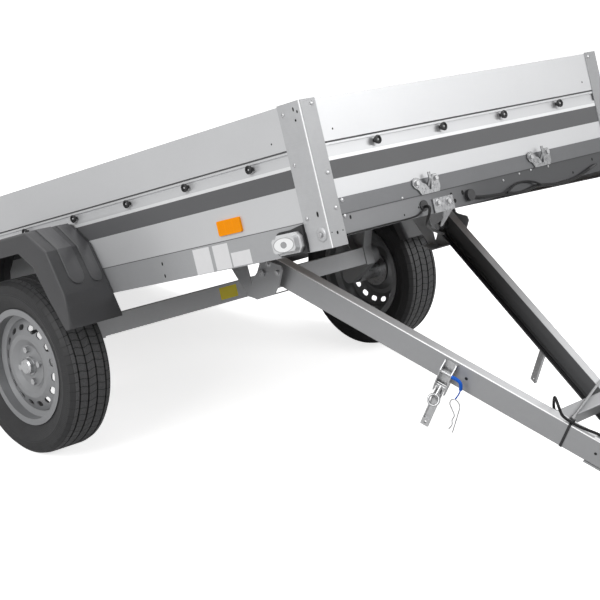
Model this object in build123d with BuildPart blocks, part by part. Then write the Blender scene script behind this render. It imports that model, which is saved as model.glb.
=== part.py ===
from build123d import *
from math import asin, atan2, cos, degrees, hypot, radians, sin, tan
import os

os.makedirs("parts", exist_ok=True)

# A tipping utility trailer. Lengths are in millimetres and angles in degrees.
# The bed is drawn level: X across, -Y to the front, +Z up, the wheel axis at y = 0, z = 0.
# The drawbar is drawn level as well, with its hinge at y = 0, z = 0.
# At the end both are turned as the trailer parks: the bed's tail and the coupling on the ground.

# Bed
bed_half_width = 637
axle_to_front = 1271
axle_to_rear = 1303
frame_bottom = 161.5
side_member_height = 76
side_member_flange = 40
front_member_height = 55.5
member_depth = 48
sheet = 2.5
seat_gap = 0.3
deck_thickness = 12

frame_top = frame_bottom + side_member_height
front_y = -axle_to_front
rear_y = axle_to_rear
wall_x = bed_half_width - sheet
front_wall_y = front_y + sheet
rear_wall_y = rear_y - sheet

# Boards: two planks high, drawn in the side view of the wall, z from the frame's top
board_thickness = 20
lower_plank_height = 187
upper_plank_height = 114
seam_bevel = 2
knob_groove_depth = 5
knob_groove_height = 22
knob_below_seam = 19
post_rise = 3
board_end_gap = 0.5
gate_clearance = 5
gate_lift = 6
gate_hinge_stand = 8
gate_hinge_drop = 3
hinge_knuckle_radius = 7
hinge_pin_radius = 4
hinge_knuckle_length = 24
hinge_knuckle_gap = 1
hinge_leaf_gauge = 3
hinge_leaf_height = 40
gate_hinge_pitch = 400

seam_z = frame_top + lower_plank_height
board_top = seam_z + upper_plank_height
knob_z = seam_z - knob_below_seam

# Corner posts
post_front_leg = 57
post_side_leg = 84.5
post_corner_radius = 5

# Front strip between the posts, over the foot of the front board
strip_height = 43
strip_thickness = 2

# Tarp knobs, each a neck from the groove's floor and a tapered head
knob_radius = 10
knob_neck_radius = 5
knob_neck = 9
knob_head = 5
knob_taper = 20
knob_pitch_side = 277
knob_first_side = 212.5
knob_count_side = 9
knob_pitch_front = 264.5
knob_count_front = 4

# Cross members under the deck, as distances in front of the wheel axis
hinge_member_ahead = 765
leg_member_ahead = 615
mid_member_behind = 250
rear_bay_member_behind = 780
cross_member_places = (-hinge_member_ahead, -leg_member_ahead, mid_member_behind, rear_bay_member_behind)

# Tyre, rim and hub
tyre_radius = 272
tyre_width = 155
wheel_outset = 113
rim_radius = 182.5
rim_half_width = 60
bead_radius = 166
drop_centre_radius = 146
rim_gauge = 3
flange_thickness = 4
disc_offset = 28
disc_gauge = 4
disc_hole_count = 16
disc_hole_ring = 121
disc_hole_length = 27
disc_hole_width = 17
bolt_circle = 100
bolt_count = 4
bolt_radius = 6
bolt_head_radius = 10
bolt_head_height = 9
hub_flange_radius = 64
hub_flange_thickness = 10
hub_barrel_radius = 34
hub_pilot_radius = 28
dust_cap_radius = 25
dust_cap_height = 26
stub_radius = 15
running_fit = 0.05
tread_groove_count = 4
tread_groove_width = 6
tread_groove_depth = 7
tyre_shoulder = 14
tyre_bulge = 3
tyre_wall = 9
disc_rise = 10
disc_rise_radius = 84
disc_crown_radius = 100
disc_fall = 8

wheel_centre_x = bed_half_width + wheel_outset
bead_half = rim_half_width - flange_thickness
disc_face_x = wheel_centre_x + disc_offset
tread_rib = (tyre_width - 2 * tyre_shoulder) / tread_groove_count

hub_gap = 8

# Axle beam and trailing arms
beam_ahead = 115
beam_above = 63.5
beam_side = 60
beam_wall = 5
axle_bracket_width = 40
axle_bracket_gauge = 4
axle_bracket_top_length = 130
swing_arm_thickness = 30
swing_arm_pivot_radius = 37
swing_arm_hub_radius = 30

# Mudguards
guard_reach = 213
guard_wall = 3
guard_top = 393
guard_bottom = 91
guard_flange = 28
guard_outer_outline = ((245, 1.0), (331, 0.77), (370, 0.34), (363, 0.0))
guard_inner_outline = ((182, 1.0), (254, 0.77), (300, 0.34), (330, 0.0))
guard_opening_outline = ((187, 0.82), (247, 0.65), (289, 0.32), (336, 0.0))

guard_outer_x = bed_half_width + guard_reach

# Drawbar
arm_half_spread = 399
arm_splay = 16.75
arm_drop = 54.2
arm_height = 75.3
arm_flange = 31.2
arm_gauge = 3
arm_tail = 18
fold_radius = 4
hinge_ahead = 735
hinge_above = 122.8
pin_radius = 8
pin_head_radius = 12
pin_head_height = 8
bush_radius = 14
cross_tube_side = 40
cross_tube_wall = 3
cross_tube_ahead = 882

# Hinge brackets on the bed
cheek_gap = 12.5
cheek_gauge = 4
cheek_foot_flange = 52
cheek_length = 166
cheek_height = 132
leg_inset = 8
# ahead of the hinge as a share of the cheek's length, above its foot as a share of its height
cheek_shares = ((0.22, 1.0), (0.22, 0.77), (0.48, 0.64), (0.5, 0.53), (0.33, 0.22), (0.27, 0.17), (0.16, 0.04),
                (-0.32, 0.0), (-0.5, 0.13), (-0.41, 0.27), (-0.3, 0.48), (-0.23, 0.53), (-0.16, 0.58),
                (-0.04, 0.76), (-0.04, 1.0))
foot_shares = ((0.16, 0.04), (-0.32, 0.0), (-0.5, 0.13), (-0.62, 0.13))
leg_shares = ((-0.44, 1.0), (-0.95, 1.0), (-0.58, 0.1), (-0.42, 0.03))

# Coupling
nose_plate_gauge = 6
nose_plate_back = 230
nose_plate_front = 60
coupling_length = 331.2
coupling_foot = -40
coupling_shank_width = 58
coupling_head_height = 66
coupling_body_radius = 38
ball_radius = 25
socket_wall = 4
socket_depth = 46

# Lamps and reflectors on the bed
marker_length = 116
marker_height = 73
marker_gauge = 10
marker_lift = 1.5
# back along the holder and up it, as shares of its length and height
marker_shares = ((0, 0), (0.87, 0), (1, 0.2), (1, 0.57), (0.82, 0.8), (0, 1))
marker_lens_length = 102
marker_lens_height = 54
marker_lens_corner = 14
marker_lens_base = 10
marker_lens_dome = 16
marker_lens_inset = 8
marker_lens_middle_shares = (0.483, 0.438)
rear_lamp_length = 190
rear_lamp_height = 42
rear_lamp_depth = 21.5
rear_lamp_inset = 12
rear_lamp_lift = 22.5
rear_lens_depth = 18
rear_lens_inset = 4
reflector_length = 97
reflector_height = 41
reflector_gauge = 6
reflector_corner = 5
reflector_behind_front = 322
reflector_lift = 15.5

# Catches on the front strip and the guide lug under the left one
catch_half_spread = 249
catch_width = 106
catch_height = 49
catch_gauge = 4
# across from the catch's middle and up from its foot, as shares of its width and height
catch_shares = ((-0.24, 0), (0.44, 0), (0.5, 0.24), (0.5, 0.82), (0.43, 1), (0.3, 1), (0.24, 0.84), (0.15, 0.2),
                (0.08, 0.2), (-0.02, 0.55), (-0.13, 0.63), (-0.23, 0.94), (-0.34, 1), (-0.47, 0.9),
                (-0.5, 0.65), (-0.44, 0.45), (-0.32, 0.29))
tongue_reach = 12
tongue_height = 57
tongue_width = 9
tongue_offset = 3
# forward from the catch's face and up from its foot, as shares of the tongue's reach and height
tongue_shares = ((0, 0.35), (1, 0.67), (1, 1), (0.75, 1), (0.75, 0.69), (0, 0.46))
lug_middle = 195
lug_width = 82
lug_height = 39
lug_gauge = 4
lug_tongue_middle = 182.5
lug_tongue_width = 35
lug_tip_middle = 192
lug_tip_width = 6
lug_tip_drop = 39
lug_tip_back = 28.5

# Latches at the tailgate's ends: a plate on the gate, a hook back along the bed's side and a thumb lever
gate_latch_width = 62
gate_latch_height = 46
gate_latch_gauge = 3
gate_latch_gap = 6
gate_latch_hook = 52
gate_latch_lift = 168
thumb_lever_width = 16
thumb_lever_height = 58
thumb_lever_reach = 11

# Latches on the drawbar's arms: a bracket with two pins, an eye bolt and a channel-section lever
latch_ahead = 579
latch_width = 38
latch_gauge = 3
latch_reach = 24
latch_top = 46
latch_height = 101
# outwards from the arm and up from the latch's foot, as shares of its reach and height
latch_shares = ((0, 1), (0.4, 1), (1, 0.72), (1, 0.25), (0.75, 0), (0.35, 0), (0, 0.35))
latch_pin_radius = 5
upper_pin_place = (15, 12)
lower_pin_place = (12, -34)
eye_shank_radius = 6
eye_radius = 15.5
eye_wire_radius = 3.5
eye_reach = 44
eye_lean = 30
eye_forward_reach = 74
lever_width = 24
lever_depth = 8
lever_gauge = 2.5
lever_length = 132
lever_lean = 7
lever_tab = 22
lever_hole_radius = 4

# Lead, cord and wire sizes
lead_radius = 4
loom_radius = 4.5
loop_wire_radius = 3
lamp_wire_radius = 2.5
cord_radius = 1.5
sleeve_radius = 5
clip_radius = 1.6
bend_share = 0.45
grommet_place = (-84, 207)
grommet_radius = 16
grommet_height = 11
disc_grommet_place = (-272, 209)
disc_grommet_radius = 15
disc_grommet_height = 3
connector_radius = 4.7
connector_length = 34
connector_tip_length = 8
connector_tip_radius = 3
plug_radius = 17
plug_length = 34
plug_neck_radius = 8
plug_neck_length = 16
plug_rim_radius = 16
plug_rim_length = 20

# Stay rod across the tube, its foot on the left arm
rod_radius = 4
rod_foot_radius = 7
rod_foot_length = 18
rod_foot_ahead = 911
rod_foot_across = -90
rod_end_ahead = 835
rod_end_across = 134


def write_step(part, name, place):
    """Move a finished piece from its level drawing to its parked place and save it."""
    part.label = name
    placed = part.moved(place)
    placed.label = name
    pieces[name] = placed


pieces = {}

# Parked places
tail_reach = hypot(rear_wall_y, frame_bottom)
tip_angle = degrees(asin(tyre_radius / tail_reach) + atan2(frame_bottom, rear_wall_y))
bed_place = Location((0, 0, tyre_radius), (-tip_angle, 0, 0))

# Nose of the drawbar, in the drawbar's own drawing
arm_slope = tan(radians(arm_splay))
arm_cos = cos(radians(arm_splay))
arm_sin = sin(radians(arm_splay))
apex_ahead = arm_half_spread / arm_slope
arm_end_ahead = (arm_half_spread - arm_flange * arm_cos - board_end_gap) / arm_slope
arm_top = arm_drop
arm_foot = arm_drop - arm_height
coupling_front = arm_end_ahead + coupling_length
ball_ahead = coupling_front - coupling_body_radius

# The drawbar turns down about its hinge until the coupling's lower front edge meets the ground
hinge_height = (bed_place * Pos(0, -hinge_ahead, hinge_above)).position.Z
nose_reach = hypot(coupling_front, coupling_foot)
drawbar_dip = degrees(asin(hinge_height / nose_reach) - atan2(-coupling_foot, coupling_front))
fold_angle = drawbar_dip + tip_angle
drawbar_place = bed_place * Pos(0, -hinge_ahead, hinge_above) * Rot(fold_angle, 0, 0)


def channel_points(length, depth, gauge):
    """The corners of a C section: its back on the left, its flanges to the right."""
    return [(0, 0), (depth, 0), (depth, gauge), (gauge, gauge), (gauge, length - gauge),
            (depth, length - gauge), (depth, length), (0, length)]


# Floor frame
for side, sign in (("left", -1), ("right", 1)):
    member_start = front_wall_y + member_depth
    member_end = rear_wall_y - member_depth
    with BuildPart() as side_member:
        side_plane = Plane(origin=(sign * wall_x, member_end, frame_bottom), x_dir=(-sign, 0, 0), z_dir=(0, sign, 0))
        with BuildSketch(side_plane):
            Polygon(*channel_points(side_member_height, side_member_flange, sheet), align=None)
        extrude(amount=-sign * (member_end - member_start))
    write_step(side_member.part, f"side_member_{side}", bed_place)

for end, end_y, sign, height in (("front", front_wall_y, 1, front_member_height),
                                 ("rear", rear_wall_y, -1, side_member_height)):
    with BuildPart() as end_member:
        end_plane = Plane(origin=(-wall_x * sign, end_y, frame_top - height), x_dir=(0, sign, 0), z_dir=(sign, 0, 0))
        with BuildSketch(end_plane):
            Polygon(*channel_points(height, member_depth, sheet), align=None)
        extrude(amount=2 * wall_x)
    write_step(end_member.part, f"{end}_cross_member", bed_place)

with BuildPart() as cross_members:
    member_half = wall_x - sheet
    for place_y in cross_member_places:
        member_plane = Plane(origin=(-member_half, place_y - member_depth / 2, frame_top - front_member_height),
                             x_dir=(0, 1, 0), z_dir=(1, 0, 0))
        with BuildSketch(member_plane):
            Polygon(*channel_points(front_member_height, member_depth, sheet), align=None)
        extrude(amount=2 * member_half)
    with BuildSketch(Plane.XY.offset(frame_top)):
        with Locations(*[(sign * member_half, place_y) for sign in (-1, 1) for place_y in cross_member_places]):
            Rectangle(2 * (side_member_flange - sheet), 2 * member_depth)
    extrude(amount=-sheet, mode=Mode.SUBTRACT)
write_step(cross_members.part, "cross_members", bed_place)

board_back_x = wall_x - board_thickness
board_back_front = front_wall_y + board_thickness
board_back_rear = rear_wall_y - board_thickness
with BuildPart() as floor_deck:
    with BuildSketch(Plane.XY.offset(frame_top)):
        with Locations((0, (board_back_front + board_back_rear - gate_clearance) / 2)):
            Rectangle(2 * board_back_x, board_back_rear - gate_clearance - board_back_front)
    extrude(amount=deck_thickness)
write_step(floor_deck.part, "floor_deck", bed_place)


# Boards
def plank_points(foot, height, grooved, bevel_foot, bevel_top):
    """The corners of a plank's section: outer face at 0, inner face at the board's thickness."""
    outline = []
    outline += [(seam_bevel, foot), (0, foot + seam_bevel)] if bevel_foot else [(0, foot)]
    if grooved:
        groove_low = knob_z - knob_groove_height / 2
        groove_high = knob_z + knob_groove_height / 2
        outline += [(0, groove_low), (knob_groove_depth, groove_low),
                    (knob_groove_depth, groove_high), (0, groove_high)]
    head = foot + height
    outline += [(0, head - seam_bevel), (seam_bevel, head)] if bevel_top else [(0, head)]
    return outline + [(board_thickness, head), (board_thickness, foot)]


planks = (("lower", frame_top, lower_plank_height, True, False, True),
          ("upper", seam_z, upper_plank_height, False, True, False))
side_board_start = board_back_front
side_board_end = board_back_rear - gate_clearance - sheet
for level, foot, height, grooved, bevel_foot, bevel_top in planks:
    for side, sign in (("left", -1), ("right", 1)):
        with BuildPart() as side_plank:
            wall_plane = Plane(origin=(sign * wall_x, side_board_end, 0), x_dir=(-sign, 0, 0), z_dir=(0, sign, 0))
            with BuildSketch(wall_plane):
                Polygon(*plank_points(foot, height, grooved, bevel_foot, bevel_top), align=None)
            extrude(amount=-sign * (side_board_end - side_board_start))
        write_step(side_plank.part, f"{side}_{level}_plank", bed_place)
    with BuildPart() as front_plank:
        wall_plane = Plane(origin=(-wall_x, front_wall_y, 0), x_dir=(0, 1, 0), z_dir=(1, 0, 0))
        with BuildSketch(wall_plane):
            Polygon(*plank_points(foot, height, grooved, bevel_foot, bevel_top), align=None)
        extrude(amount=2 * wall_x)
    write_step(front_plank.part, f"front_{level}_plank", bed_place)

# Corner posts, folded from sheet: the front pair round the boards, the rear pair over the side boards' ends
post_places = (("front", front_y, 1, bed_half_width - post_front_leg),
               ("rear", side_board_end + sheet, -1, board_back_x))
for end, end_y, inward, leg_tip_x in post_places:
    for side, sign in (("left", -1), ("right", 1)):
        with BuildPart() as post:
            with BuildSketch(Plane.XY.offset(frame_bottom)) as post_section:
                Polygon((sign * bed_half_width, end_y), (sign * leg_tip_x, end_y),
                        (sign * leg_tip_x, end_y + inward * sheet), (sign * wall_x, end_y + inward * sheet),
                        (sign * wall_x, end_y + inward * post_side_leg),
                        (sign * bed_half_width, end_y + inward * post_side_leg), align=None)
                corner = (sign * bed_half_width, end_y)
                fillet(post_section.vertices().sort_by_distance(corner)[0], radius=post_corner_radius)
            extrude(amount=board_top + post_rise - frame_bottom)
            if end == "rear":
                with BuildSketch(Plane.XY.offset(frame_bottom)):
                    with Locations((sign * (leg_tip_x - sheet), end_y)):
                        Rectangle(2 * (wall_x - leg_tip_x + sheet), 2 * gate_clearance)
                extrude(amount=side_member_height, mode=Mode.SUBTRACT)
        write_step(post.part, f"{end}_{side}_post", bed_place)

strip_half = bed_half_width - post_front_leg - board_end_gap
with BuildPart() as front_strip:
    with BuildSketch(Plane.XZ.offset(-front_wall_y)):
        with Locations((0, frame_top + strip_height / 2)):
            Rectangle(2 * strip_half, strip_height)
    extrude(amount=strip_thickness)
write_step(front_strip.part, "front_strip", bed_place)

# Tailgate: two planks across the tail, hinged at their foot on the rear cross member
gate_hinge_y = rear_wall_y + gate_hinge_stand
gate_hinge_z = frame_top + gate_hinge_drop
for level, foot, height, grooved, bevel_foot, bevel_top in planks:
    lift = gate_lift if level == "lower" else 0
    with BuildPart() as gate_plank:
        wall_plane = Plane(origin=(bed_half_width, rear_wall_y, 0), x_dir=(0, -1, 0), z_dir=(-1, 0, 0))
        with BuildSketch(wall_plane):
            Polygon(*plank_points(foot + lift, height - lift, grooved, bevel_foot, bevel_top), align=None)
        extrude(amount=2 * bed_half_width)
    write_step(gate_plank.part, f"tailgate_{level}_plank", bed_place)

with BuildPart() as gate_straps:
    for place_x in (-gate_hinge_pitch, 0, gate_hinge_pitch):
        with BuildSketch(Plane.YZ.offset(place_x - hinge_knuckle_length * 1.5)):
            with Locations((gate_hinge_y, gate_hinge_z)):
                Circle(hinge_pin_radius)
        extrude(amount=hinge_knuckle_length * 3)
        for knuckle in (-1, 1):
            start_x = place_x + knuckle * (hinge_knuckle_length / 2 + hinge_knuckle_gap)
            with BuildSketch(Plane.YZ.offset(start_x)):
                with Locations((gate_hinge_y, gate_hinge_z)):
                    Circle(hinge_knuckle_radius)
                Polygon((rear_wall_y, gate_hinge_z + gate_lift), (gate_hinge_y, gate_hinge_z),
                        (rear_wall_y + hinge_leaf_gauge, gate_hinge_z + hinge_leaf_height),
                        (rear_wall_y, gate_hinge_z + hinge_leaf_height), align=None)
            extrude(amount=knuckle * hinge_knuckle_length)
write_step(gate_straps.part, "tailgate_hinge_straps", bed_place)

with BuildPart() as gate_knuckles:
    for place_x in (-gate_hinge_pitch, 0, gate_hinge_pitch):
        with BuildSketch(Plane.YZ.offset(place_x - hinge_knuckle_length / 2)):
            with Locations((gate_hinge_y, gate_hinge_z)):
                Circle(hinge_knuckle_radius)
            Polygon((rear_wall_y, gate_hinge_z - gate_hinge_drop), (gate_hinge_y, gate_hinge_z),
                    (rear_wall_y + hinge_leaf_gauge, gate_hinge_z - hinge_leaf_height),
                    (rear_wall_y, gate_hinge_z - hinge_leaf_height), align=None)
            with Locations((gate_hinge_y, gate_hinge_z)):
                Circle(hinge_pin_radius + running_fit, mode=Mode.SUBTRACT)
        extrude(amount=hinge_knuckle_length)
write_step(gate_knuckles.part, "rear_hinge_knuckles", bed_place)


def bracket_points(inset):
    """An axle bracket's outline round the beam, widening to its foot on the side member."""
    beam_half = beam_side / 2
    half = beam_half + axle_bracket_gauge - inset
    foot = beam_above - beam_half - axle_bracket_gauge + inset
    top_half = axle_bracket_top_length / 2 - inset
    top = frame_bottom - inset
    waist = beam_above + beam_half
    outline = ((half, foot), (half, waist), (top_half, top), (-top_half, top), (-half, waist), (-half, foot))
    return [(y - beam_ahead, z) for y, z in outline]


# Axle: a square beam, brackets up to the side members and trailing arms to the wheel axis
bracket_outer_x = wall_x - axle_bracket_gauge
hub_start_x = bracket_outer_x + swing_arm_thickness + hub_gap
stub_end_x = disc_face_x + hub_pilot_radius / 2
beam_half_length = bracket_outer_x - axle_bracket_gauge
with BuildPart() as axle_beam:
    with BuildSketch(Plane.YZ.offset(-beam_half_length)):
        with Locations((-beam_ahead, beam_above)):
            Rectangle(beam_side, beam_side)
            Rectangle(beam_side - 2 * beam_wall, beam_side - 2 * beam_wall, mode=Mode.SUBTRACT)
    extrude(amount=2 * beam_half_length)
write_step(axle_beam.part, "axle_beam", bed_place)

for side, sign in (("left", -1), ("right", 1)):
    with BuildPart() as axle_bracket:
        for start_x, inset, mode in ((bracket_outer_x, 0, Mode.ADD),
                                     (bracket_outer_x - axle_bracket_gauge, axle_bracket_gauge, Mode.SUBTRACT)):
            with BuildSketch(Plane.YZ.offset(sign * start_x)):
                Polygon(*bracket_points(inset), align=None)
            extrude(amount=-sign * axle_bracket_width, mode=mode)
    write_step(axle_bracket.part, f"axle_bracket_{side}", bed_place)

    with BuildPart() as swing_arm:
        with BuildSketch(Plane.YZ.offset(sign * bracket_outer_x)):
            with Locations((-beam_ahead, beam_above)):
                Circle(swing_arm_pivot_radius)
            Circle(swing_arm_hub_radius)
            make_hull()
        extrude(amount=sign * swing_arm_thickness)
        with BuildSketch(Plane.YZ.offset(sign * (bracket_outer_x + swing_arm_thickness))):
            Circle(stub_radius)
        extrude(amount=sign * (stub_end_x - bracket_outer_x - swing_arm_thickness))
    write_step(swing_arm.part, f"swing_arm_{side}", bed_place)

# Mudguards: a faceted shell, wider at its outer face, open below and over the wheel
def guard_points(outline, inset):
    """A mudguard's outline: its front half from a table of lengths ahead and shares of height, mirrored."""
    half = [(-(ahead - inset), guard_bottom + share * (guard_top - guard_bottom) - inset) for ahead, share in outline]
    return half + [(-y, z) for y, z in reversed(half)]


for side, sign in (("left", -1), ("right", 1)):
    with BuildPart() as mudguard:
        for face_x, outline in ((guard_outer_x, guard_outer_outline), (wall_x, guard_inner_outline)):
            with BuildSketch(Plane.YZ.offset(sign * face_x)):
                Polygon(*guard_points(outline, 0), align=None)
        loft(ruled=True)
        for face_x, outline in ((guard_outer_x - guard_wall, guard_outer_outline),
                                (wall_x + guard_wall, guard_inner_outline)):
            with BuildSketch(Plane.YZ.offset(sign * face_x)):
                Polygon(*guard_points(outline, guard_wall), align=None)
        loft(ruled=True, mode=Mode.SUBTRACT)
        with BuildSketch(Plane.YZ.offset(sign * guard_outer_x)):
            Polygon(*guard_points(guard_opening_outline, 0), align=None)
        extrude(amount=-sign * 2 * guard_wall, mode=Mode.SUBTRACT)
        with BuildSketch(Plane.YZ.offset(sign * wall_x)):
            Polygon(*guard_points(guard_inner_outline, guard_flange), align=None)
        extrude(amount=sign * 2 * guard_wall, mode=Mode.SUBTRACT)
    write_step(mudguard.part, f"mudguard_{side}", bed_place)


# Wheels: each drawn as a section from the middle of the trailer outwards, then turned about the axle
def tyre_points():
    """The tyre's section, from one bead over the tread to the other, back along its inside."""
    side_radius = (rim_radius + tyre_radius) / 2
    half = tyre_width / 2
    inner_half = half - tyre_wall
    outside = [(bead_half, bead_radius + seat_gap), (bead_half, rim_radius), (half, side_radius),
               (half - tyre_bulge, tyre_radius - tyre_shoulder), (half - tyre_shoulder, tyre_radius - tyre_bulge)]
    groove_half = tread_groove_width / 2
    grooves = []
    for groove in range(tread_groove_count):
        middle = half - tyre_shoulder - tread_rib * (groove + 0.5)
        for x, depth in ((groove_half, 0), (groove_half, 1), (-groove_half, 1), (-groove_half, 0)):
            grooves.append((middle + x, tyre_radius - depth * tread_groove_depth))
    inside = [(half - tyre_shoulder, tyre_radius - tyre_shoulder), (inner_half, side_radius),
              (bead_half - tyre_wall, rim_radius), (bead_half - tyre_wall, bead_radius + seat_gap)]
    mirrored_out = [(-x, radius) for x, radius in reversed(outside)]
    mirrored_in = [(-x, radius) for x, radius in inside]
    points = outside + grooves + mirrored_out + mirrored_in[::-1] + inside
    return [(wheel_centre_x + x, radius) for x, radius in points]


def rim_points():
    """The rim's section: flanges, bead seats and the drop centre, one gauge thick."""
    outside = [(rim_half_width, rim_radius), (bead_half, rim_radius), (bead_half, bead_radius),
               (bead_half / 2, bead_radius), (bead_half / 3, drop_centre_radius)]
    inside = [(bead_half / 3 + rim_gauge / 2, drop_centre_radius - rim_gauge),
              (bead_half / 2 + rim_gauge / 2, bead_radius - rim_gauge), (rim_half_width, bead_radius - rim_gauge)]
    points = outside + [(-x, radius) for x, radius in reversed(outside)]
    points += [(-x, radius) for x, radius in reversed(inside)] + inside
    return [(wheel_centre_x + x, radius) for x, radius in points]


def disc_points():
    """The wheel disc's section: mounting face, raised ring, then down to the drop centre."""
    line = [(0, hub_pilot_radius + seat_gap), (0, hub_flange_radius), (disc_rise, disc_rise_radius),
            (disc_rise, disc_crown_radius), (-disc_fall, drop_centre_radius - rim_gauge / 2)]
    points = line + [(x + disc_gauge, radius) for x, radius in reversed(line)]
    return [(disc_face_x + x, radius) for x, radius in points]


def hub_points():
    """The hub's section: barrel, flange, pilot and dust cap round the blind bore."""
    bore = stub_radius + running_fit
    cap_end = disc_face_x + dust_cap_height
    return [(hub_start_x, bore), (hub_start_x, hub_barrel_radius),
            (disc_face_x - hub_flange_thickness, hub_barrel_radius),
            (disc_face_x - hub_flange_thickness, hub_flange_radius), (disc_face_x, hub_flange_radius),
            (disc_face_x, hub_pilot_radius), (disc_face_x + 2 * disc_gauge, hub_pilot_radius),
            (disc_face_x + 2 * disc_gauge, dust_cap_radius), (cap_end - disc_gauge, dust_cap_radius),
            (cap_end, dust_cap_radius - disc_gauge), (cap_end, 0), (stub_end_x + rim_gauge, 0),
            (stub_end_x + rim_gauge, bore)]


for side, sign in (("left", -1), ("right", 1)):
    section_plane = Plane(origin=(0, 0, 0), x_dir=(sign, 0, 0), z_dir=(0, -sign, 0))
    with BuildPart() as tyre:
        with BuildSketch(section_plane):
            Polygon(*tyre_points(), align=None)
        revolve(axis=Axis.X)
    write_step(tyre.part, f"tyre_{side}", bed_place)

    with BuildPart() as rim:
        with BuildSketch(section_plane):
            Polygon(*rim_points(), align=None)
        revolve(axis=Axis.X)
        with BuildSketch(section_plane):
            Polygon(*disc_points(), align=None)
        revolve(axis=Axis.X)
        with BuildSketch(Plane.YZ.offset(sign * (disc_face_x - disc_fall))):
            with PolarLocations(disc_hole_ring, disc_hole_count):
                SlotOverall(disc_hole_length, disc_hole_width, rotation=90)
            with PolarLocations(bolt_circle / 2, bolt_count):
                Circle(bolt_radius + seat_gap)
        extrude(amount=sign * (disc_fall + disc_rise + 2 * disc_gauge), mode=Mode.SUBTRACT)
    write_step(rim.part, f"rim_{side}", bed_place)

    with BuildPart() as hub:
        with BuildSketch(section_plane):
            Polygon(*hub_points(), align=None)
        revolve(axis=Axis.X)
        with BuildSketch(Plane.YZ.offset(sign * disc_face_x)):
            with PolarLocations(bolt_circle / 2, bolt_count):
                Circle(bolt_radius + seat_gap)
        extrude(amount=-sign * hub_flange_thickness, mode=Mode.SUBTRACT)
    write_step(hub.part, f"hub_{side}", bed_place)

    with BuildPart() as wheel_bolts:
        with BuildSketch(Plane.YZ.offset(sign * (disc_face_x - hub_flange_thickness))):
            with PolarLocations(bolt_circle / 2, bolt_count):
                Circle(bolt_radius)
        extrude(amount=sign * (hub_flange_thickness + disc_gauge))
        with BuildSketch(Plane.YZ.offset(sign * (disc_face_x + disc_gauge))):
            with PolarLocations(bolt_circle / 2, bolt_count):
                RegularPolygon(bolt_head_radius, 6)
        extrude(amount=sign * bolt_head_height)
    write_step(wheel_bolts.part, f"wheel_bolts_{side}", bed_place)

# Hinge brackets: an outer cheek with a folded foot and a tapered rear leg, under two cross members
cheek_top = frame_top - front_member_height
cheek_foot = cheek_top - cheek_height
hinge_y = -hinge_ahead
cheek_inner_x = arm_half_spread + cheek_gap
for side, sign in (("left", -1), ("right", 1)):
    with BuildPart() as hinge_bracket:
        with BuildSketch(Plane.YZ.offset(sign * cheek_inner_x)):
            Polygon(*[(hinge_y - ahead * cheek_length, cheek_foot + above * cheek_height)
                      for ahead, above in cheek_shares], align=None)
            with Locations((hinge_y, hinge_above)):
                Circle(pin_radius + seat_gap, mode=Mode.SUBTRACT)
        extrude(amount=sign * cheek_gauge)
        with BuildSketch(Plane.YZ.offset(sign * cheek_inner_x)):
            foot_line = [(hinge_y - ahead * cheek_length, cheek_foot + above * cheek_height)
                         for ahead, above in foot_shares]
            Polygon(*foot_line, *[(y, z + cheek_gauge) for y, z in reversed(foot_line)], align=None)
        extrude(amount=-sign * cheek_foot_flange)
        with BuildSketch(Plane.YZ.offset(sign * (cheek_inner_x - leg_inset))):
            Polygon(*[(hinge_y - ahead * cheek_length, cheek_foot + above * cheek_height)
                      for ahead, above in leg_shares], align=None)
        extrude(amount=sign * cheek_gauge)
    write_step(hinge_bracket.part, f"hinge_bracket_{side}", bed_place)

with BuildPart() as hinge_pins:
    for sign in (-1, 1):
        head_x = cheek_inner_x + cheek_gauge
        pin_end_x = arm_half_spread - arm_flange - 2 * pin_head_height
        with BuildSketch(Plane.YZ.offset(sign * head_x)):
            with Locations((hinge_y, hinge_above)):
                RegularPolygon(pin_head_radius, 6)
        extrude(amount=sign * pin_head_height)
        with BuildSketch(Plane.YZ.offset(sign * head_x)):
            with Locations((hinge_y, hinge_above)):
                Circle(pin_radius)
        extrude(amount=-sign * (head_x - pin_end_x))
        with BuildSketch(Plane.YZ.offset(sign * pin_end_x)):
            with Locations((hinge_y, hinge_above)):
                RegularPolygon(pin_head_radius, 6)
        extrude(amount=sign * pin_head_height)
write_step(hinge_pins.part, "hinge_pins", bed_place)

# Drawbar arms: C sections open towards each other, splayed from the coupling
for side, sign in (("left", -1), ("right", 1)):
    with BuildPart() as arm:
        arm_start = arm_tail + arm_flange
        arm_plane = Plane(origin=(sign * (arm_half_spread + arm_start * arm_slope), arm_start,
                                  arm_top if sign > 0 else arm_foot),
                          x_dir=(-sign * arm_cos, arm_sin, 0), z_dir=(-sign * arm_sin, -arm_cos, 0))
        with BuildSketch(arm_plane) as arm_section:
            Polygon(*channel_points(arm_height, arm_flange, arm_gauge), align=None)
            fillet(arm_section.vertices().group_by(Axis.X)[0], radius=fold_radius)
        extrude(amount=(arm_end_ahead + arm_start) / arm_cos)
        split(bisect_by=Plane.XZ.offset(-arm_tail), keep=Keep.TOP)
        with BuildSketch(Plane.YZ.offset(sign * (arm_half_spread - arm_gauge))):
            Circle(bush_radius)
        extrude(amount=-sign * (arm_flange - pin_head_height))
        with BuildSketch(Plane.YZ.offset(sign * (cheek_inner_x + cheek_gauge))):
            Circle(pin_radius + running_fit)
        extrude(amount=-sign * 2 * arm_height, mode=Mode.SUBTRACT)
    write_step(arm.part, f"drawbar_arm_{side}", drawbar_place)

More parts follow.
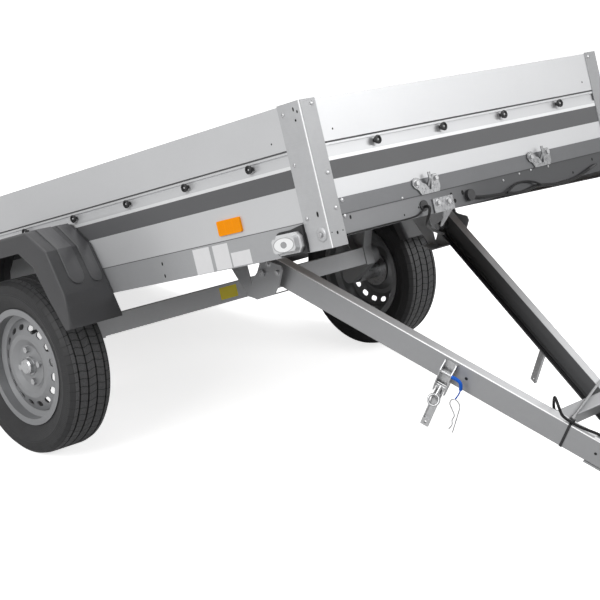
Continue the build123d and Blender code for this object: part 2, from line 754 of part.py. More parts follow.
# Cross tube between the arms' backs, its ends cut to the splay
with BuildPart() as cross_tube:
    tube_top = arm_top - arm_gauge
    with BuildSketch(Plane.YZ):
        with Locations((-cross_tube_ahead, tube_top - cross_tube_side / 2)):
            RectangleRounded(cross_tube_side, cross_tube_side, fold_radius)
            Rectangle(cross_tube_side - 2 * cross_tube_wall, cross_tube_side - 2 * cross_tube_wall,
                      mode=Mode.SUBTRACT)
    extrude(amount=arm_half_spread, both=True)
    with BuildSketch(Plane.XY.offset(tube_top)):
        inner_half = arm_half_spread - arm_gauge / arm_cos
        reach = apex_ahead
        Polygon((-inner_half, 0), (inner_half, 0), (inner_half - reach * arm_slope, -reach),
                (-inner_half + reach * arm_slope, -reach), align=None)
    extrude(amount=-cross_tube_side, mode=Mode.INTERSECT)
write_step(cross_tube.part, "cross_tube", drawbar_place)

# Nose plates over and under the arms, and the coupling between them
with BuildPart() as nose_plates:
    back_ahead = arm_end_ahead - nose_plate_back
    front_ahead = arm_end_ahead + nose_plate_front
    half_back = arm_half_spread - back_ahead * arm_slope
    for plate_z in (arm_top, arm_foot - nose_plate_gauge):
        with BuildSketch(Plane.XY.offset(plate_z)):
            Polygon((-half_back, -back_ahead), (half_back, -back_ahead),
                    (coupling_shank_width / 2, -arm_end_ahead), (coupling_shank_width / 2, -front_ahead),
                    (-coupling_shank_width / 2, -front_ahead), (-coupling_shank_width / 2, -arm_end_ahead),
                    align=None)
        extrude(amount=nose_plate_gauge)
write_step(nose_plates.part, "nose_plates", drawbar_place)

with BuildPart() as coupling:
    shank_back = arm_end_ahead + board_end_gap
    head_top = coupling_foot + coupling_head_height
    with BuildSketch(Plane.YZ):
        Polygon((-shank_back, arm_foot), (-shank_back, arm_top), (-front_ahead, arm_top),
                (-ball_ahead, head_top), (-ball_ahead, coupling_foot + socket_wall * 2),
                (-front_ahead, arm_foot), align=None)
    extrude(amount=coupling_shank_width / 2, both=True)
    with BuildSketch(Plane.XY.offset(coupling_foot)):
        with Locations((0, -ball_ahead)):
            Circle(coupling_body_radius)
    extrude(amount=coupling_head_height)
    top_rim = coupling.edges().filter_by(GeomType.CIRCLE).sort_by(Axis.Z)[-1]
    fillet(top_rim, radius=socket_wall * 2)
    with BuildSketch(Plane.XY.offset(coupling_foot)):
        with Locations((0, -ball_ahead)):
            Circle(ball_radius + seat_gap)
    extrude(amount=socket_depth, mode=Mode.SUBTRACT)
write_step(coupling.part, "coupling_head", drawbar_place)

# Tarp knobs in the grooves of the side and front boards, and on the tailgate
knob_side_places = [side_board_start + knob_first_side + knob_pitch_side * place for place in range(knob_count_side)]
knob_front_start = -knob_pitch_front * (knob_count_front - 1) / 2
knob_front_places = [knob_front_start + knob_pitch_front * place for place in range(knob_count_front)]
groove_x = wall_x - knob_groove_depth
left_groove = Plane(origin=(-groove_x, 0, knob_z), x_dir=(0, 1, 0), z_dir=(-1, 0, 0))
right_groove = Plane(origin=(groove_x, 0, knob_z), x_dir=(0, 1, 0), z_dir=(1, 0, 0))
front_groove = Plane(origin=(0, front_wall_y + knob_groove_depth, knob_z), x_dir=(1, 0, 0), z_dir=(0, -1, 0))
gate_groove = Plane(origin=(0, rear_wall_y - knob_groove_depth, knob_z), x_dir=(1, 0, 0), z_dir=(0, 1, 0))
bed_rows = ((left_groove, knob_side_places), (right_groove, knob_side_places), (front_groove, knob_front_places))
for name, rows in (("tarp_knobs", bed_rows), ("tailgate_knobs", ((gate_groove, knob_front_places),))):
    with BuildPart() as knobs:
        for groove, places in rows:
            with BuildSketch(groove):
                with Locations(*[(place, 0) for place in places]):
                    Circle(knob_neck_radius)
            extrude(amount=knob_neck)
            with BuildSketch(groove.offset(knob_neck)):
                with Locations(*[(place, 0) for place in places]):
                    Circle(knob_radius)
            extrude(amount=knob_head, taper=knob_taper)
    write_step(knobs.part, name, bed_place)

# Lamp housings: marker lamp holders behind the front posts, rear lamps under the tailgate
marker_y = front_y + post_side_leg + board_end_gap
marker_z = frame_bottom + marker_lift
rear_lamp_x = bed_half_width - rear_lamp_inset - rear_lamp_length / 2
rear_lamp_z = frame_bottom + rear_lamp_lift + rear_lamp_height / 2
with BuildPart() as lamp_housings:
    for sign in (-1, 1):
        with BuildSketch(Plane(origin=(sign * wall_x, marker_y, marker_z), x_dir=(0, 1, 0), z_dir=(1, 0, 0))):
            Polygon(*[(back * marker_length, up * marker_height) for back, up in marker_shares], align=None)
        extrude(amount=sign * marker_gauge)
        housing_plane = Plane(origin=(sign * rear_lamp_x, rear_wall_y, rear_lamp_z), x_dir=(1, 0, 0),
                              z_dir=(0, 1, 0))
        with BuildSketch(housing_plane):
            RectangleRounded(rear_lamp_length, rear_lamp_height, rear_lens_inset)
        extrude(amount=rear_lamp_depth)
write_step(lamp_housings.part, "lamp_housings", bed_place)

lens_back_share, lens_up_share = marker_lens_middle_shares
with BuildPart() as lamp_lenses:
    for sign in (-1, 1):
        lens_y = marker_y + lens_back_share * marker_length
        lens_z = marker_z + lens_up_share * marker_height
        for step_x, inset, depth in ((wall_x + marker_gauge, 0, marker_lens_base),
                                     (wall_x + marker_gauge + marker_lens_base, marker_lens_inset, marker_lens_dome)):
            marker_lens_plane = Plane(origin=(sign * step_x, lens_y, lens_z), x_dir=(0, 1, 0), z_dir=(1, 0, 0))
            with BuildSketch(marker_lens_plane) as lens:
                Rectangle(marker_lens_length - 2 * inset, marker_lens_height - 2 * inset)
                chamfer(lens.vertices(), length=marker_lens_corner - inset)
            extrude(amount=sign * depth)
        lens_plane = Plane(origin=(sign * rear_lamp_x, rear_wall_y + rear_lamp_depth, rear_lamp_z),
                           x_dir=(1, 0, 0), z_dir=(0, 1, 0))
        with BuildSketch(lens_plane):
            RectangleRounded(rear_lamp_length - 2 * rear_lens_inset, rear_lamp_height - 2 * rear_lens_inset,
                             rear_lens_inset)
        extrude(amount=rear_lens_depth)
write_step(lamp_lenses.part, "lamp_lenses", bed_place)

with BuildPart() as side_reflectors:
    for sign in (-1, 1):
        reflector_plane = Plane(origin=(sign * wall_x, front_y + reflector_behind_front + reflector_length / 2,
                                        frame_top + reflector_lift + reflector_height / 2),
                                x_dir=(0, 1, 0), z_dir=(1, 0, 0))
        with BuildSketch(reflector_plane):
            RectangleRounded(reflector_length, reflector_height, reflector_corner)
        extrude(amount=sign * reflector_gauge)
write_step(side_reflectors.part, "side_reflectors", bed_place)

# Catches on the front strip, with a tongue that stands forward, and the guide lug for the left arm
catch_face_y = front_wall_y - strip_thickness - catch_gauge
lug_z = frame_top - front_member_height - board_end_gap
with BuildPart() as front_fittings:
    for sign in (-1, 1):
        catch_plane = Plane(origin=(sign * catch_half_spread, catch_face_y + catch_gauge, frame_top),
                            x_dir=(1, 0, 0), z_dir=(0, -1, 0))
        with BuildSketch(catch_plane):
            Polygon(*[(across * catch_width, up * catch_height) for across, up in catch_shares], align=None)
        extrude(amount=catch_gauge)
        with BuildSketch(Plane.YZ.offset(sign * catch_half_spread + tongue_offset)):
            Polygon(*[(catch_face_y - ahead * tongue_reach, frame_top + up * tongue_height)
                      for ahead, up in tongue_shares], align=None)
        extrude(amount=tongue_width)
    with BuildSketch(Plane(origin=(-lug_middle, front_wall_y, lug_z), x_dir=(1, 0, 0), z_dir=(0, -1, 0))):
        Rectangle(lug_width, lug_height, align=(Align.CENTER, Align.MIN))
    extrude(amount=lug_gauge)
    for level_z, middle, width, back in ((lug_z, lug_tongue_middle, lug_tongue_width, 0),
                                         (lug_z - lug_tip_drop, lug_tip_middle, lug_tip_width, lug_tip_back)):
        with BuildSketch(Plane.XY.offset(level_z)):
            with Locations((-middle, front_wall_y - lug_gauge / 2 + back)):
                Rectangle(width, lug_gauge)
    loft(ruled=True)
write_step(front_fittings.part, "front_fittings", bed_place)

# Tailgate latches
gate_latch_z = frame_top + gate_latch_lift
hook_x = bed_half_width + gate_latch_gap
with BuildPart() as tailgate_latches:
    for sign in (-1, 1):
        with BuildSketch(Plane(origin=(0, rear_wall_y, gate_latch_z), x_dir=(1, 0, 0), z_dir=(0, 1, 0))):
            Polygon((sign * (bed_half_width - gate_latch_width), -gate_latch_height / 2),
                    (sign * (hook_x + gate_latch_gauge), -gate_latch_height / 2),
                    (sign * (hook_x + gate_latch_gauge), gate_latch_height / 2),
                    (sign * (bed_half_width - gate_latch_width), gate_latch_height / 2), align=None)
        extrude(amount=gate_latch_gauge)
        with BuildSketch(Plane.YZ.offset(sign * hook_x)):
            Polygon((rear_wall_y + gate_latch_gauge, gate_latch_z - gate_latch_height / 2),
                    (rear_wall_y - gate_latch_hook, gate_latch_z - gate_latch_height / 4),
                    (rear_wall_y - gate_latch_hook, gate_latch_z + gate_latch_height / 4),
                    (rear_wall_y + gate_latch_gauge, gate_latch_z + gate_latch_height / 2), align=None)
        extrude(amount=sign * gate_latch_gauge)
        lever_x = sign * (bed_half_width - gate_latch_width / 2)
        with BuildSketch(Plane(origin=(lever_x, rear_wall_y + gate_latch_gauge, gate_latch_z),
                               x_dir=(1, 0, 0), z_dir=(0, 1, 0))):
            SlotOverall(thumb_lever_height, thumb_lever_width, rotation=90)
        extrude(amount=thumb_lever_reach, taper=knob_taper)
write_step(tailgate_latches.part, "tailgate_latches", bed_place)


# Drawbar latches
def arm_cut(sign, ahead):
    """A plane across an arm at a distance ahead of the hinge: local x outwards from its web, local y up."""
    return Plane(origin=(sign * (arm_half_spread - ahead * arm_slope), -ahead, 0),
                 x_dir=(sign * arm_cos, -arm_sin, 0), z_dir=(-arm_sin, -sign * arm_cos, 0))


with BuildPart() as drawbar_latches:
    for sign in (-1, 1):
        cut = arm_cut(sign, latch_ahead)
        with BuildSketch(cut):
            Polygon(*[(out * latch_reach, latch_top - (1 - up) * latch_height) for out, up in latch_shares],
                    align=None)
        extrude(amount=latch_width / 2, both=True)
        with BuildSketch(cut):
            with Locations((latch_gauge, 0)):
                Rectangle(2 * latch_reach, 2 * latch_height, align=(Align.MIN, Align.CENTER))
        extrude(amount=latch_width / 2 - latch_gauge, both=True, mode=Mode.SUBTRACT)
        with BuildSketch(cut):
            with Locations(upper_pin_place, lower_pin_place):
                Circle(latch_pin_radius)
        extrude(amount=latch_width / 2, both=True)

        pin = cut.from_local_coords(Vector(*lower_pin_place))
        outward = cut.x_dir
        lean_out = outward * sin(radians(eye_lean))
        if sign < 0:
            eye_line = lean_out - Vector(0, 0, cos(radians(eye_lean)))
            eye_length = eye_reach
            ring_normal = cut.z_dir.cross(eye_line)
        else:
            eye_line = (cut.z_dir + Vector(0, 0, sin(radians(lever_lean)))).normalized()
            eye_length = eye_forward_reach
            ring_normal = outward
            pin = cut.from_local_coords(Vector(*upper_pin_place))
        with BuildSketch(Plane(origin=pin, z_dir=eye_line)):
            Circle(eye_shank_radius)
        extrude(amount=eye_length - eye_radius)
        with Locations(Location(Plane(origin=pin + eye_line * eye_length, z_dir=ring_normal))):
            Torus(eye_radius, eye_wire_radius)

        lever_line = outward * sin(radians(lever_lean)) - Vector(0, 0, cos(radians(lever_lean)))
        lever_start = cut.from_local_coords(Vector(*lower_pin_place))
        lever_face = Plane(origin=lever_start, x_dir=cut.z_dir, z_dir=lever_line)
        with BuildSketch(lever_face):
            Rectangle(lever_width, lever_depth)
        extrude(amount=lever_length)
        out_face = lever_line.cross(cut.z_dir)
        if out_face.dot(outward) < 0:
            out_face = out_face * -1
        groove_start = lever_start + out_face * (lever_gauge - lever_depth / 2) + lever_line * lever_depth
        with BuildSketch(Plane(origin=groove_start, x_dir=lever_line, z_dir=out_face)):
            Rectangle(lever_length - lever_tab - lever_depth, lever_width - 2 * lever_gauge,
                      align=(Align.MIN, Align.CENTER))
        extrude(amount=lever_depth, mode=Mode.SUBTRACT)
        with BuildSketch(Plane(origin=lever_start + lever_line * (lever_length - lever_tab / 2), z_dir=out_face)):
            Circle(lever_hole_radius)
        extrude(amount=lever_depth, both=True, mode=Mode.SUBTRACT)
write_step(drawbar_latches.part, "drawbar_latches", drawbar_place)

# Stay rod: it lies on both arms and slants over the cross tube, with its foot on the left arm
rod_start = Vector(rod_foot_across, -rod_foot_ahead, arm_top + rod_foot_radius + seat_gap)
rod_end = Vector(rod_end_across, -rod_end_ahead, arm_top + rod_radius + seat_gap)
rod_line = (rod_end - rod_start).normalized()
with BuildPart() as stay_rod:
    with BuildSketch(Plane(origin=rod_start, z_dir=rod_line)):
        Circle(rod_radius)
    extrude(amount=(rod_end - rod_start).length)
    with BuildSketch(Plane(origin=rod_start, z_dir=rod_line * -1)):
        Circle(rod_foot_radius)
    extrude(amount=rod_foot_length)
write_step(stay_rod.part, "drawbar_stay_rod", drawbar_place)


# Leads, wires and the lanyard
def bend_radii(points):
    """A route's bends, each as large as the shorter of its two runs allows."""
    corners = [Vector(*point) for point in points]
    radii = []
    for start, corner, end in zip(corners, corners[1:], corners[2:]):
        shorter = min((corner - start).length, (end - corner).length)
        half_turn = radians((corner - start).get_angle(end - corner)) / 2
        radii.append(bend_share * shorter / tan(half_turn))
    return radii


def by_arm(sign, ahead, inset, height):
    """A point by an arm: its distance ahead of the hinge, how far inside the web's outer face, and its height."""
    return (sign * (arm_half_spread - ahead * arm_slope - inset / arm_cos), -ahead, height)


# The lead lies in the right arm, crosses behind the tube, loops over the left arm and runs to its plug
flange_height = arm_foot + arm_gauge + lead_radius + seat_gap
lead_route = [(351.2, -72.2, flange_height), by_arm(1, 160, 26.5, flange_height), by_arm(1, 265, 25, flange_height),
              by_arm(1, 370, 26.5, flange_height), by_arm(1, 480, 24.5, flange_height),
              by_arm(1, 590, 26.5, flange_height), by_arm(1, 690, 25, flange_height),
              by_arm(1, 745, 26, flange_height), by_arm(1, 790, 26.5, flange_height), (122, -822, -13),
              (104, -845, -8), (72, -857, 4), (30, -857.3, 18), (-20, -857.4, 25), (-62, -857, 26), (-88, -851, 36),
              (-100, -848, 58), (-110, -846, 82), (-122, -852, 96), (-133, -866, 98), (-136, -884, 86),
              (-129, -897, 68), by_arm(-1, 917, 7.5, 59.2), by_arm(-1, 952, 9, 59.4), by_arm(-1, 988, 12, 65.4),
              (-74, -1022, 65.2), (-56, -1056, 65.8), (-42, -1086, 71), (-35, -1112, 77.5), (-30.5, -1136, 77.5)]
# The jumper: from the front member's disc grommet back under the bed, then to the right arm
jumper_bed_route = [(-270, -1271.8, 206), (-270, -1285, 206), (-276, -1291, 193), (-282, -1284, 175),
                    (-268, -1262, 162), (-238, -1232, 154), (-174, -1180, 145), (-71, -1100, 131),
                    (58, -1000, 117), (150, -930, 108)]
jumper_arm_route = [(243, -104, 62), (290, -62, 38), (338, -26, 6), (362, -40, flange_height),
                    (351.3, -71.9, flange_height)]
arm_in_bed = Pos(0, -hinge_ahead, hinge_above) * Rot(fold_angle, 0, 0)
jumper_route = jumper_bed_route + [tuple((arm_in_bed * Pos(*point)).position) for point in jumper_arm_route]
loom_y = front_wall_y - loom_radius - seat_gap
loom_route = [(x, loom_y, z) for x, z in ((-69.2, 198.5), (-40, 193.5), (-5, 190.2), (40, 187.5), (80, 185),
                                          (120, 178.5), (165, 180), (212, 187.5), (262, 181), (311, 175),
                                          (360, 176.5), (405, 181), (440, 188), (472, 195.5))]
loop_route = [(66, -1281.3, 188.5), (86, -1279.5, 195.5), (110, -1274, 204), (143, -1272.5, 208),
              (178, -1273.5, 205), (204, -1278.5, 197), (220, -1282.5, 186)]
lamp_wire_y = front_wall_y - lamp_wire_radius - seat_gap
lamp_wire_route = [(x, lamp_wire_y, z) for x, z in ((-286, 195), (-303, 188), (-328, 185.4), (-372, 185),
                                                    (-430, 185.6), (-492, 185), (-546, 185.5), (-577, 185))]
sleeve_route = [by_arm(-1, ahead, -25, height) for ahead, height in ((605.5, 17), (625, 19), (638, 10), (641, -6))]
cord_route = [by_arm(-1, ahead, -25, height) for ahead, height in ((641, -6), (641.5, -17), (640, -28), (637.5, -40))]
clip_route = [by_arm(-1, ahead, -25, height) for ahead, height in (
    (665, -142), (658, -58), (651, -46), (639, -41), (628, -47), (627, -62), (654, -90), (650, -106), (657, -119),
    (652, -139))]

tube_sets = (("drawbar_cable", drawbar_place, ((lead_radius, lead_route),)),
             ("cable_jumper", bed_place, ((lead_radius, jumper_route),)),
             ("bed_wiring", bed_place, ((loom_radius, loom_route), (loop_wire_radius, loop_route),
                                        (lamp_wire_radius, lamp_wire_route))),
             ("latch_lanyard", drawbar_place, ((sleeve_radius, sleeve_route), (cord_radius, cord_route))),
             ("latch_clip", drawbar_place, ((clip_radius, clip_route),)))
for name, place, tubes in tube_sets:
    with BuildPart() as lead:
        for radius, route in tubes:
            with BuildLine() as line:
                FilletPolyline(*route, radius=bend_radii(route))
            path = line.wires()[0]
            with BuildSketch(Plane(origin=path @ 0, z_dir=path % 0)):
                Circle(radius)
            sweep(path=path)
    write_step(lead.part, name, place)

# Grommets, the connector and the plug
with BuildPart() as wiring_fittings:
    front_face = Plane(origin=(0, front_wall_y, 0), x_dir=(1, 0, 0), z_dir=(0, -1, 0))
    with BuildSketch(front_face):
        with Locations(grommet_place):
            Circle(grommet_radius)
    extrude(amount=grommet_height)
    with BuildSketch(front_face):
        with Locations(disc_grommet_place):
            Circle(disc_grommet_radius)
    extrude(amount=disc_grommet_height)
    connector_start = Vector(*loom_route[-1])
    connector_line = (connector_start - Vector(*loom_route[-2])).normalized()
    with BuildSketch(Plane(origin=connector_start + connector_line * seat_gap, z_dir=connector_line)):
        Circle(connector_radius)
    extrude(amount=connector_length)
    with BuildSketch(Plane(origin=connector_start + connector_line * connector_length, z_dir=connector_line)):
        Circle(connector_tip_radius)
    extrude(amount=connector_tip_length)
write_step(wiring_fittings.part, "wiring_fittings", bed_place)

with BuildPart() as drawbar_plug:
    plug_line = (Vector(*lead_route[-1]) - Vector(*lead_route[-2])).normalized()
    plug_steps = ((0, plug_neck_radius, plug_neck_length), (plug_neck_length, plug_radius, plug_length),
                  (plug_neck_length + plug_length, plug_rim_radius, plug_rim_length))
    for start, radius, length in plug_steps:
        with BuildSketch(Plane(origin=Vector(*lead_route[-1]) + plug_line * (start + seat_gap), z_dir=plug_line)):
            Circle(radius)
        extrude(amount=length)
write_step(drawbar_plug.part, "drawbar_plug", drawbar_place)

# The shared frame's origin is the middle of the whole trailer's bounding box, on the ground
spans = [placed.bounding_box() for placed in pieces.values()]
middle_y = (min(span.min.Y for span in spans) + max(span.max.Y for span in spans)) / 2
whole_place = Location((0, -middle_y, 0))
for name, placed in pieces.items():
    finished = placed.moved(whole_place)
    finished.label = name
    export_step(finished, f"parts/{name}.step")

print("tip", tip_angle, "fold", fold_angle, "middle", middle_y)
print("drawbar hinge", (whole_place * bed_place * Pos(0, -hinge_ahead, hinge_above)).position)
print("gate hinge", (whole_place * bed_place * Pos(0, gate_hinge_y, gate_hinge_z)).position)
print("ball", (whole_place * drawbar_place * Pos(0, -ball_ahead, coupling_foot)).position)
print("pieces", len(pieces))
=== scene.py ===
"""The looks of a tipping utility trailer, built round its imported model. Lengths are in metres, angles in degrees."""
import math

import bmesh
import bpy
from mathutils import Matrix, Vector


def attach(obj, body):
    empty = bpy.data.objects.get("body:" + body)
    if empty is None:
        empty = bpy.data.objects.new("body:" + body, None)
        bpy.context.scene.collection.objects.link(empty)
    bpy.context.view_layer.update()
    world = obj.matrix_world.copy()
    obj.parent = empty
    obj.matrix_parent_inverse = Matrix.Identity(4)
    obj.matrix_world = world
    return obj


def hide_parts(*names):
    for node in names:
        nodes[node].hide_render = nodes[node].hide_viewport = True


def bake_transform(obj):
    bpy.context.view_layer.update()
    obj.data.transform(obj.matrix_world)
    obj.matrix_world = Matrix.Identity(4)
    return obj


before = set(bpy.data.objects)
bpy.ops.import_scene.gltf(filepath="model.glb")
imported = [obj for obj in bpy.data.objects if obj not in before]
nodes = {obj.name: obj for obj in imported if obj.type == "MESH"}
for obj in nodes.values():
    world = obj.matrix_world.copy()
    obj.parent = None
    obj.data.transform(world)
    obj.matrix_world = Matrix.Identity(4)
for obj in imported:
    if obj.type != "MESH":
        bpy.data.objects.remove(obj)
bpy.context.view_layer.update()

# Where the trailer parks: the bed's tilt, the drawbar's fold and the middle of the whole along Y
TIP = 19.05809
FOLD = 41.38315
MIDDLE_Y = -0.348186
TYRE_RADIUS = 0.272
HINGE_AHEAD = 0.735
HINGE_ABOVE = 0.1228

# Bed sizes that the finishes and fittings follow, in the bed's own level drawing
FRAME_TOP = 0.2375
SEAM_Z = 0.4245
STRIPE_LOW = 0.3294
STRIPE_HIGH = 0.3773
WALL_X = 0.6345
FRONT_WALL_Y = -1.2685
REAR_WALL_Y = 1.3005
WHEEL_X = 0.75
STRIP_Y = -1.2705
LENS_Y = -1.1305
LENS_Z = 0.195
REFLECTOR_Y = -0.9005
REFLECTOR_Z = 0.2735
DOME_Y = -1.2435
DOME_Z = 0.1995

# Drawbar sizes, in the drawbar's own level drawing
ARM_HALF_SPREAD = 0.399
ARM_SPLAY = 16.75
ARM_TOP = 0.0542
ARM_HEIGHT = 0.0753
ARM_FLANGE = 0.0312

# Camera, as the photograph is taken
CAMERA_PLACE = (-3.2485, -3.3355, 1.8237)
CAMERA_AZIMUTH = -44.551
CAMERA_ELEVATION = 17.118
CAMERA_LENS = 90.16
SENSOR = 36.0

bed_matrix = (
    Matrix.Translation((0, -MIDDLE_Y, TYRE_RADIUS)) @ Matrix.Rotation(math.radians(-TIP), 4, "X")
)
drawbar_matrix = (
    bed_matrix
    @ Matrix.Translation((0, -HINGE_AHEAD, HINGE_ABOVE))
    @ Matrix.Rotation(math.radians(FOLD), 4, "X")
)


# Shader maths
def plug(tree, slot, value):
    """Link a shade to a socket, or set a plain value on it."""
    if isinstance(value, Shade):
        tree.links.new(value.socket, slot)
    else:
        slot.default_value = value


class Shade:
    """One output of a finish's nodes. Its operators add the Math nodes that they need."""

    def __init__(self, tree, socket):
        self.tree = tree
        self.socket = socket

    def math(self, operation, first, second=0.0, clamp=False):
        """Add a Math node on two values and return its result."""
        node = self.tree.nodes.new("ShaderNodeMath")
        node.operation = operation
        node.use_clamp = clamp
        plug(self.tree, node.inputs[0], first)
        plug(self.tree, node.inputs[1], second)
        return Shade(self.tree, node.outputs[0])

    def __add__(self, other):
        return self.math("ADD", self, other)

    def __sub__(self, other):
        return self.math("SUBTRACT", self, other)

    def __rsub__(self, other):
        return self.math("SUBTRACT", other, self)

    def __mul__(self, other):
        return self.math("MULTIPLY", self, other)

    def __truediv__(self, other):
        return self.math("DIVIDE", self, other)

    def __pow__(self, other):
        return self.math("POWER", self, other)

    def above(self, edge):
        """1 where this is more than the edge."""
        return self.math("GREATER_THAN", self, edge)

    def below(self, edge):
        """1 where this is less than the edge."""
        return self.math("LESS_THAN", self, edge)

    def between(self, low, high):
        """1 from low to high."""
        return self.above(low) * self.below(high)

    def clamp(self):
        """This value, held between 0 and 1."""
        return self.math("ADD", self, 0.0, clamp=True)

    def absolute(self):
        """This value without its sign."""
        return self.math("ABSOLUTE", self)


class Finish:
    """A material being built: its nodes, its shader and the helpers that its maker calls."""

    def __init__(self, name, **shader):
        self.material = bpy.data.materials.new(name)
        self.material.use_nodes = True
        self.tree = self.material.node_tree
        self.shader = self.tree.nodes["Principled BSDF"]
        for socket, value in shader.items():
            self.set(socket.replace("_", " "), value)

    def set(self, socket, value):
        """Set or link one of the shader's sockets by its name."""
        if isinstance(value, tuple) and len(value) == 3:
            value = (*value, 1.0)
        plug(self.tree, self.shader.inputs[socket], value)

    def node(self, kind, settings=None, output=0, **sockets):
        """Add a node: its settings first, then its sockets by name, with _ for a space."""
        node = self.tree.nodes.new(kind)
        for key, value in (settings or {}).items():
            setattr(node, key, value)
        for key, value in sockets.items():
            plug(self.tree, node.inputs[key.replace("_", " ")], value)
        return Shade(self.tree, node.outputs[output])

    def place(self):
        """The surface's place in the shared frame."""
        return self.node("ShaderNodeTexCoord", output="Object")

    def axes(self, vector):
        """The three numbers of a vector."""
        split = self.tree.nodes.new("ShaderNodeSeparateXYZ")
        plug(self.tree, split.inputs[0], vector)
        return [Shade(self.tree, output) for output in split.outputs]

    def turned(self, matrix):
        """The surface's place in a tilted drawing: the vector and its three numbers."""
        back = matrix.inverted()
        place = self.place()
        rows = [
            self.node(
                "ShaderNodeVectorMath", {"operation": "DOT_PRODUCT"}, "Value", Vector=place
            )
            for _ in range(3)
        ]
        numbers = []
        for row, shade in zip(back, rows):
            shade.socket.node.inputs[1].default_value = tuple(row[:3])
            numbers.append(shade + row[3])
        joined = self.node("ShaderNodeCombineXYZ", None, 0, X=numbers[0], Y=numbers[1], Z=numbers[2])
        return joined, numbers

    def noise(self, vector, scale, detail=3.0, roughness=0.5):
        """Cloudy noise from 0 to 1."""
        return self.node(
            "ShaderNodeTexNoise", None, "Fac",
            Vector=vector, Scale=scale, Detail=detail, Roughness=roughness,
        )

    def stretched(self, vector, stretch):
        """The place, scaled apart along each axis."""
        node = self.tree.nodes.new("ShaderNodeVectorMath")
        node.operation = "MULTIPLY"
        plug(self.tree, node.inputs[0], vector)
        node.inputs[1].default_value = stretch
        return Shade(self.tree, node.outputs[0])

    def mix(self, share, first, second):
        """A colour between two colours."""
        node = self.tree.nodes.new("ShaderNodeMix")
        node.data_type = "RGBA"
        plug(self.tree, node.inputs["Factor"], share)
        for slot, value in ((node.inputs[6], first), (node.inputs[7], second)):
            plug(self.tree, slot, (*value, 1.0) if isinstance(value, tuple) else value)
        return Shade(self.tree, node.outputs[2])

    def bump(self, height, strength, distance=0.001):
        """Roughen the surface by a height from 0 to 1."""
        self.set("Normal", self.node(
            "ShaderNodeBump", None, 0, Height=height, Strength=strength, Distance=distance,
        ))


# Finishes
# Width of the painted highlight along the folds of the arms and posts
FOLD_HIGHLIGHT_WIDTH = 0.0026
SKIN = 0.003
ARM_WEB_SKIN = 0.0015
JOINT_HALF = 0.0024
# Height of the painted highlight on the boards' ledge
LEDGE_HIGHLIGHT_HEIGHT = 0.009
# Near black for the punched holes: painted shade seen in them
HOLE_SHADE_BLACK = (0.012, 0.012, 0.012)
# Colour of the painted highlight on those folds
FOLD_HIGHLIGHT_WHITE = (0.95, 0.95, 0.955)
JOINT_DARK = (0.035, 0.035, 0.037)
POST_X = 0.637
POST_FRONT_Y = -1.271
BOARD_HOLES = ((1.134, 0.4533, 0.0025, 0.0025),)
FRONT_BOARD_HOLES = ((0.540, 0.455, 0.0025, 0.003),)
POST_SIDE_HOLES = (
    (1.2445, 0.5219, 0.0028, 0.0055), (1.2568, 0.5136, 0.0028, 0.004), (1.2446, 0.4937, 0.0032, 0.0035),
    (1.2445, 0.2519, 0.0038, 0.0075),
)
POST_FRONT_HOLES = ((0.6278, 0.1998, 0.002, 0.002), (0.6088, 0.1963, 0.0035, 0.0045), (0.5883, 0.1989, 0.002, 0.002))
ARM_HOLES = ((0.631, 0.019, 0.0048, 0.0048), (1.015, 0.015, 0.0042, 0.0042))
MEMBER_SIDE_HOLES = ((0.570, 0.2145, 0.0035, 0.0055), (0.570, 0.1792, 0.0035, 0.0055))
MEMBER_FRONT_HOLES = (
    (-0.5494, 0.2262, 0.0035, 0.0055), (-0.3528, 0.1974, 0.0025, 0.003), (-0.2925, 0.2074, 0.0025, 0.003),
    (-0.154, 0.2203, 0.0055, 0.0055), (-0.1447, 0.2013, 0.006, 0.006), (-0.1069, 0.2182, 0.005, 0.007),
    (0.3982, 0.197, 0.004, 0.004), (0.5043, 0.2216, 0.004, 0.0045),
)


def hole_mask(across, up, holes):
    """1 inside any of the oval holes, each given by its middle and its two half sizes."""
    mask = None
    for middle_across, middle_up, half_across, half_up in holes:
        side = (across - middle_across) / half_across
        rise = (up - middle_up) / half_up
        inside = (side * side + rise * rise).below(1.0)
        mask = inside if mask is None else mask + inside
    return mask


def mark_arm(finish, numbers, colour):
    """A drawbar arm's fold with a painted highlight, its top flange lightened by painted light, the inside of its
    channel darkened by painted shade, and two punched holes painted dark as shade.
    """
    x, y, z = numbers
    splay = math.radians(ARM_SPLAY)
    inset = (y * math.tan(splay) + ARM_HALF_SPREAD - x.absolute()) * math.cos(splay)
    fold_highlight = z.above(ARM_TOP - FOLD_HIGHLIGHT_WIDTH) * inset.below(FOLD_HIGHLIGHT_WIDTH)
    lit_flange = z.above(ARM_TOP - 0.0006)
    inside = inset.above(ARM_WEB_SKIN) * z.below(ARM_TOP - 0.002)
    holes = hole_mask(y * -1.0, z, ARM_HOLES) * inset.below(ARM_WEB_SKIN)
    # Painted light: the top flange lightened where it faces up
    colour = finish.mix(lit_flange * 0.75, colour, (0.74, 0.745, 0.755))
    # Painted shade: the inside of the channel darkened
    colour = finish.mix(inside * 0.72, colour, (0.06, 0.061, 0.064))
    # Painted highlight along the top fold
    colour = finish.mix(fold_highlight, colour, FOLD_HIGHLIGHT_WHITE)
    # The holes painted near black: painted shade
    return finish.mix(holes.clamp(), colour, HOLE_SHADE_BLACK)


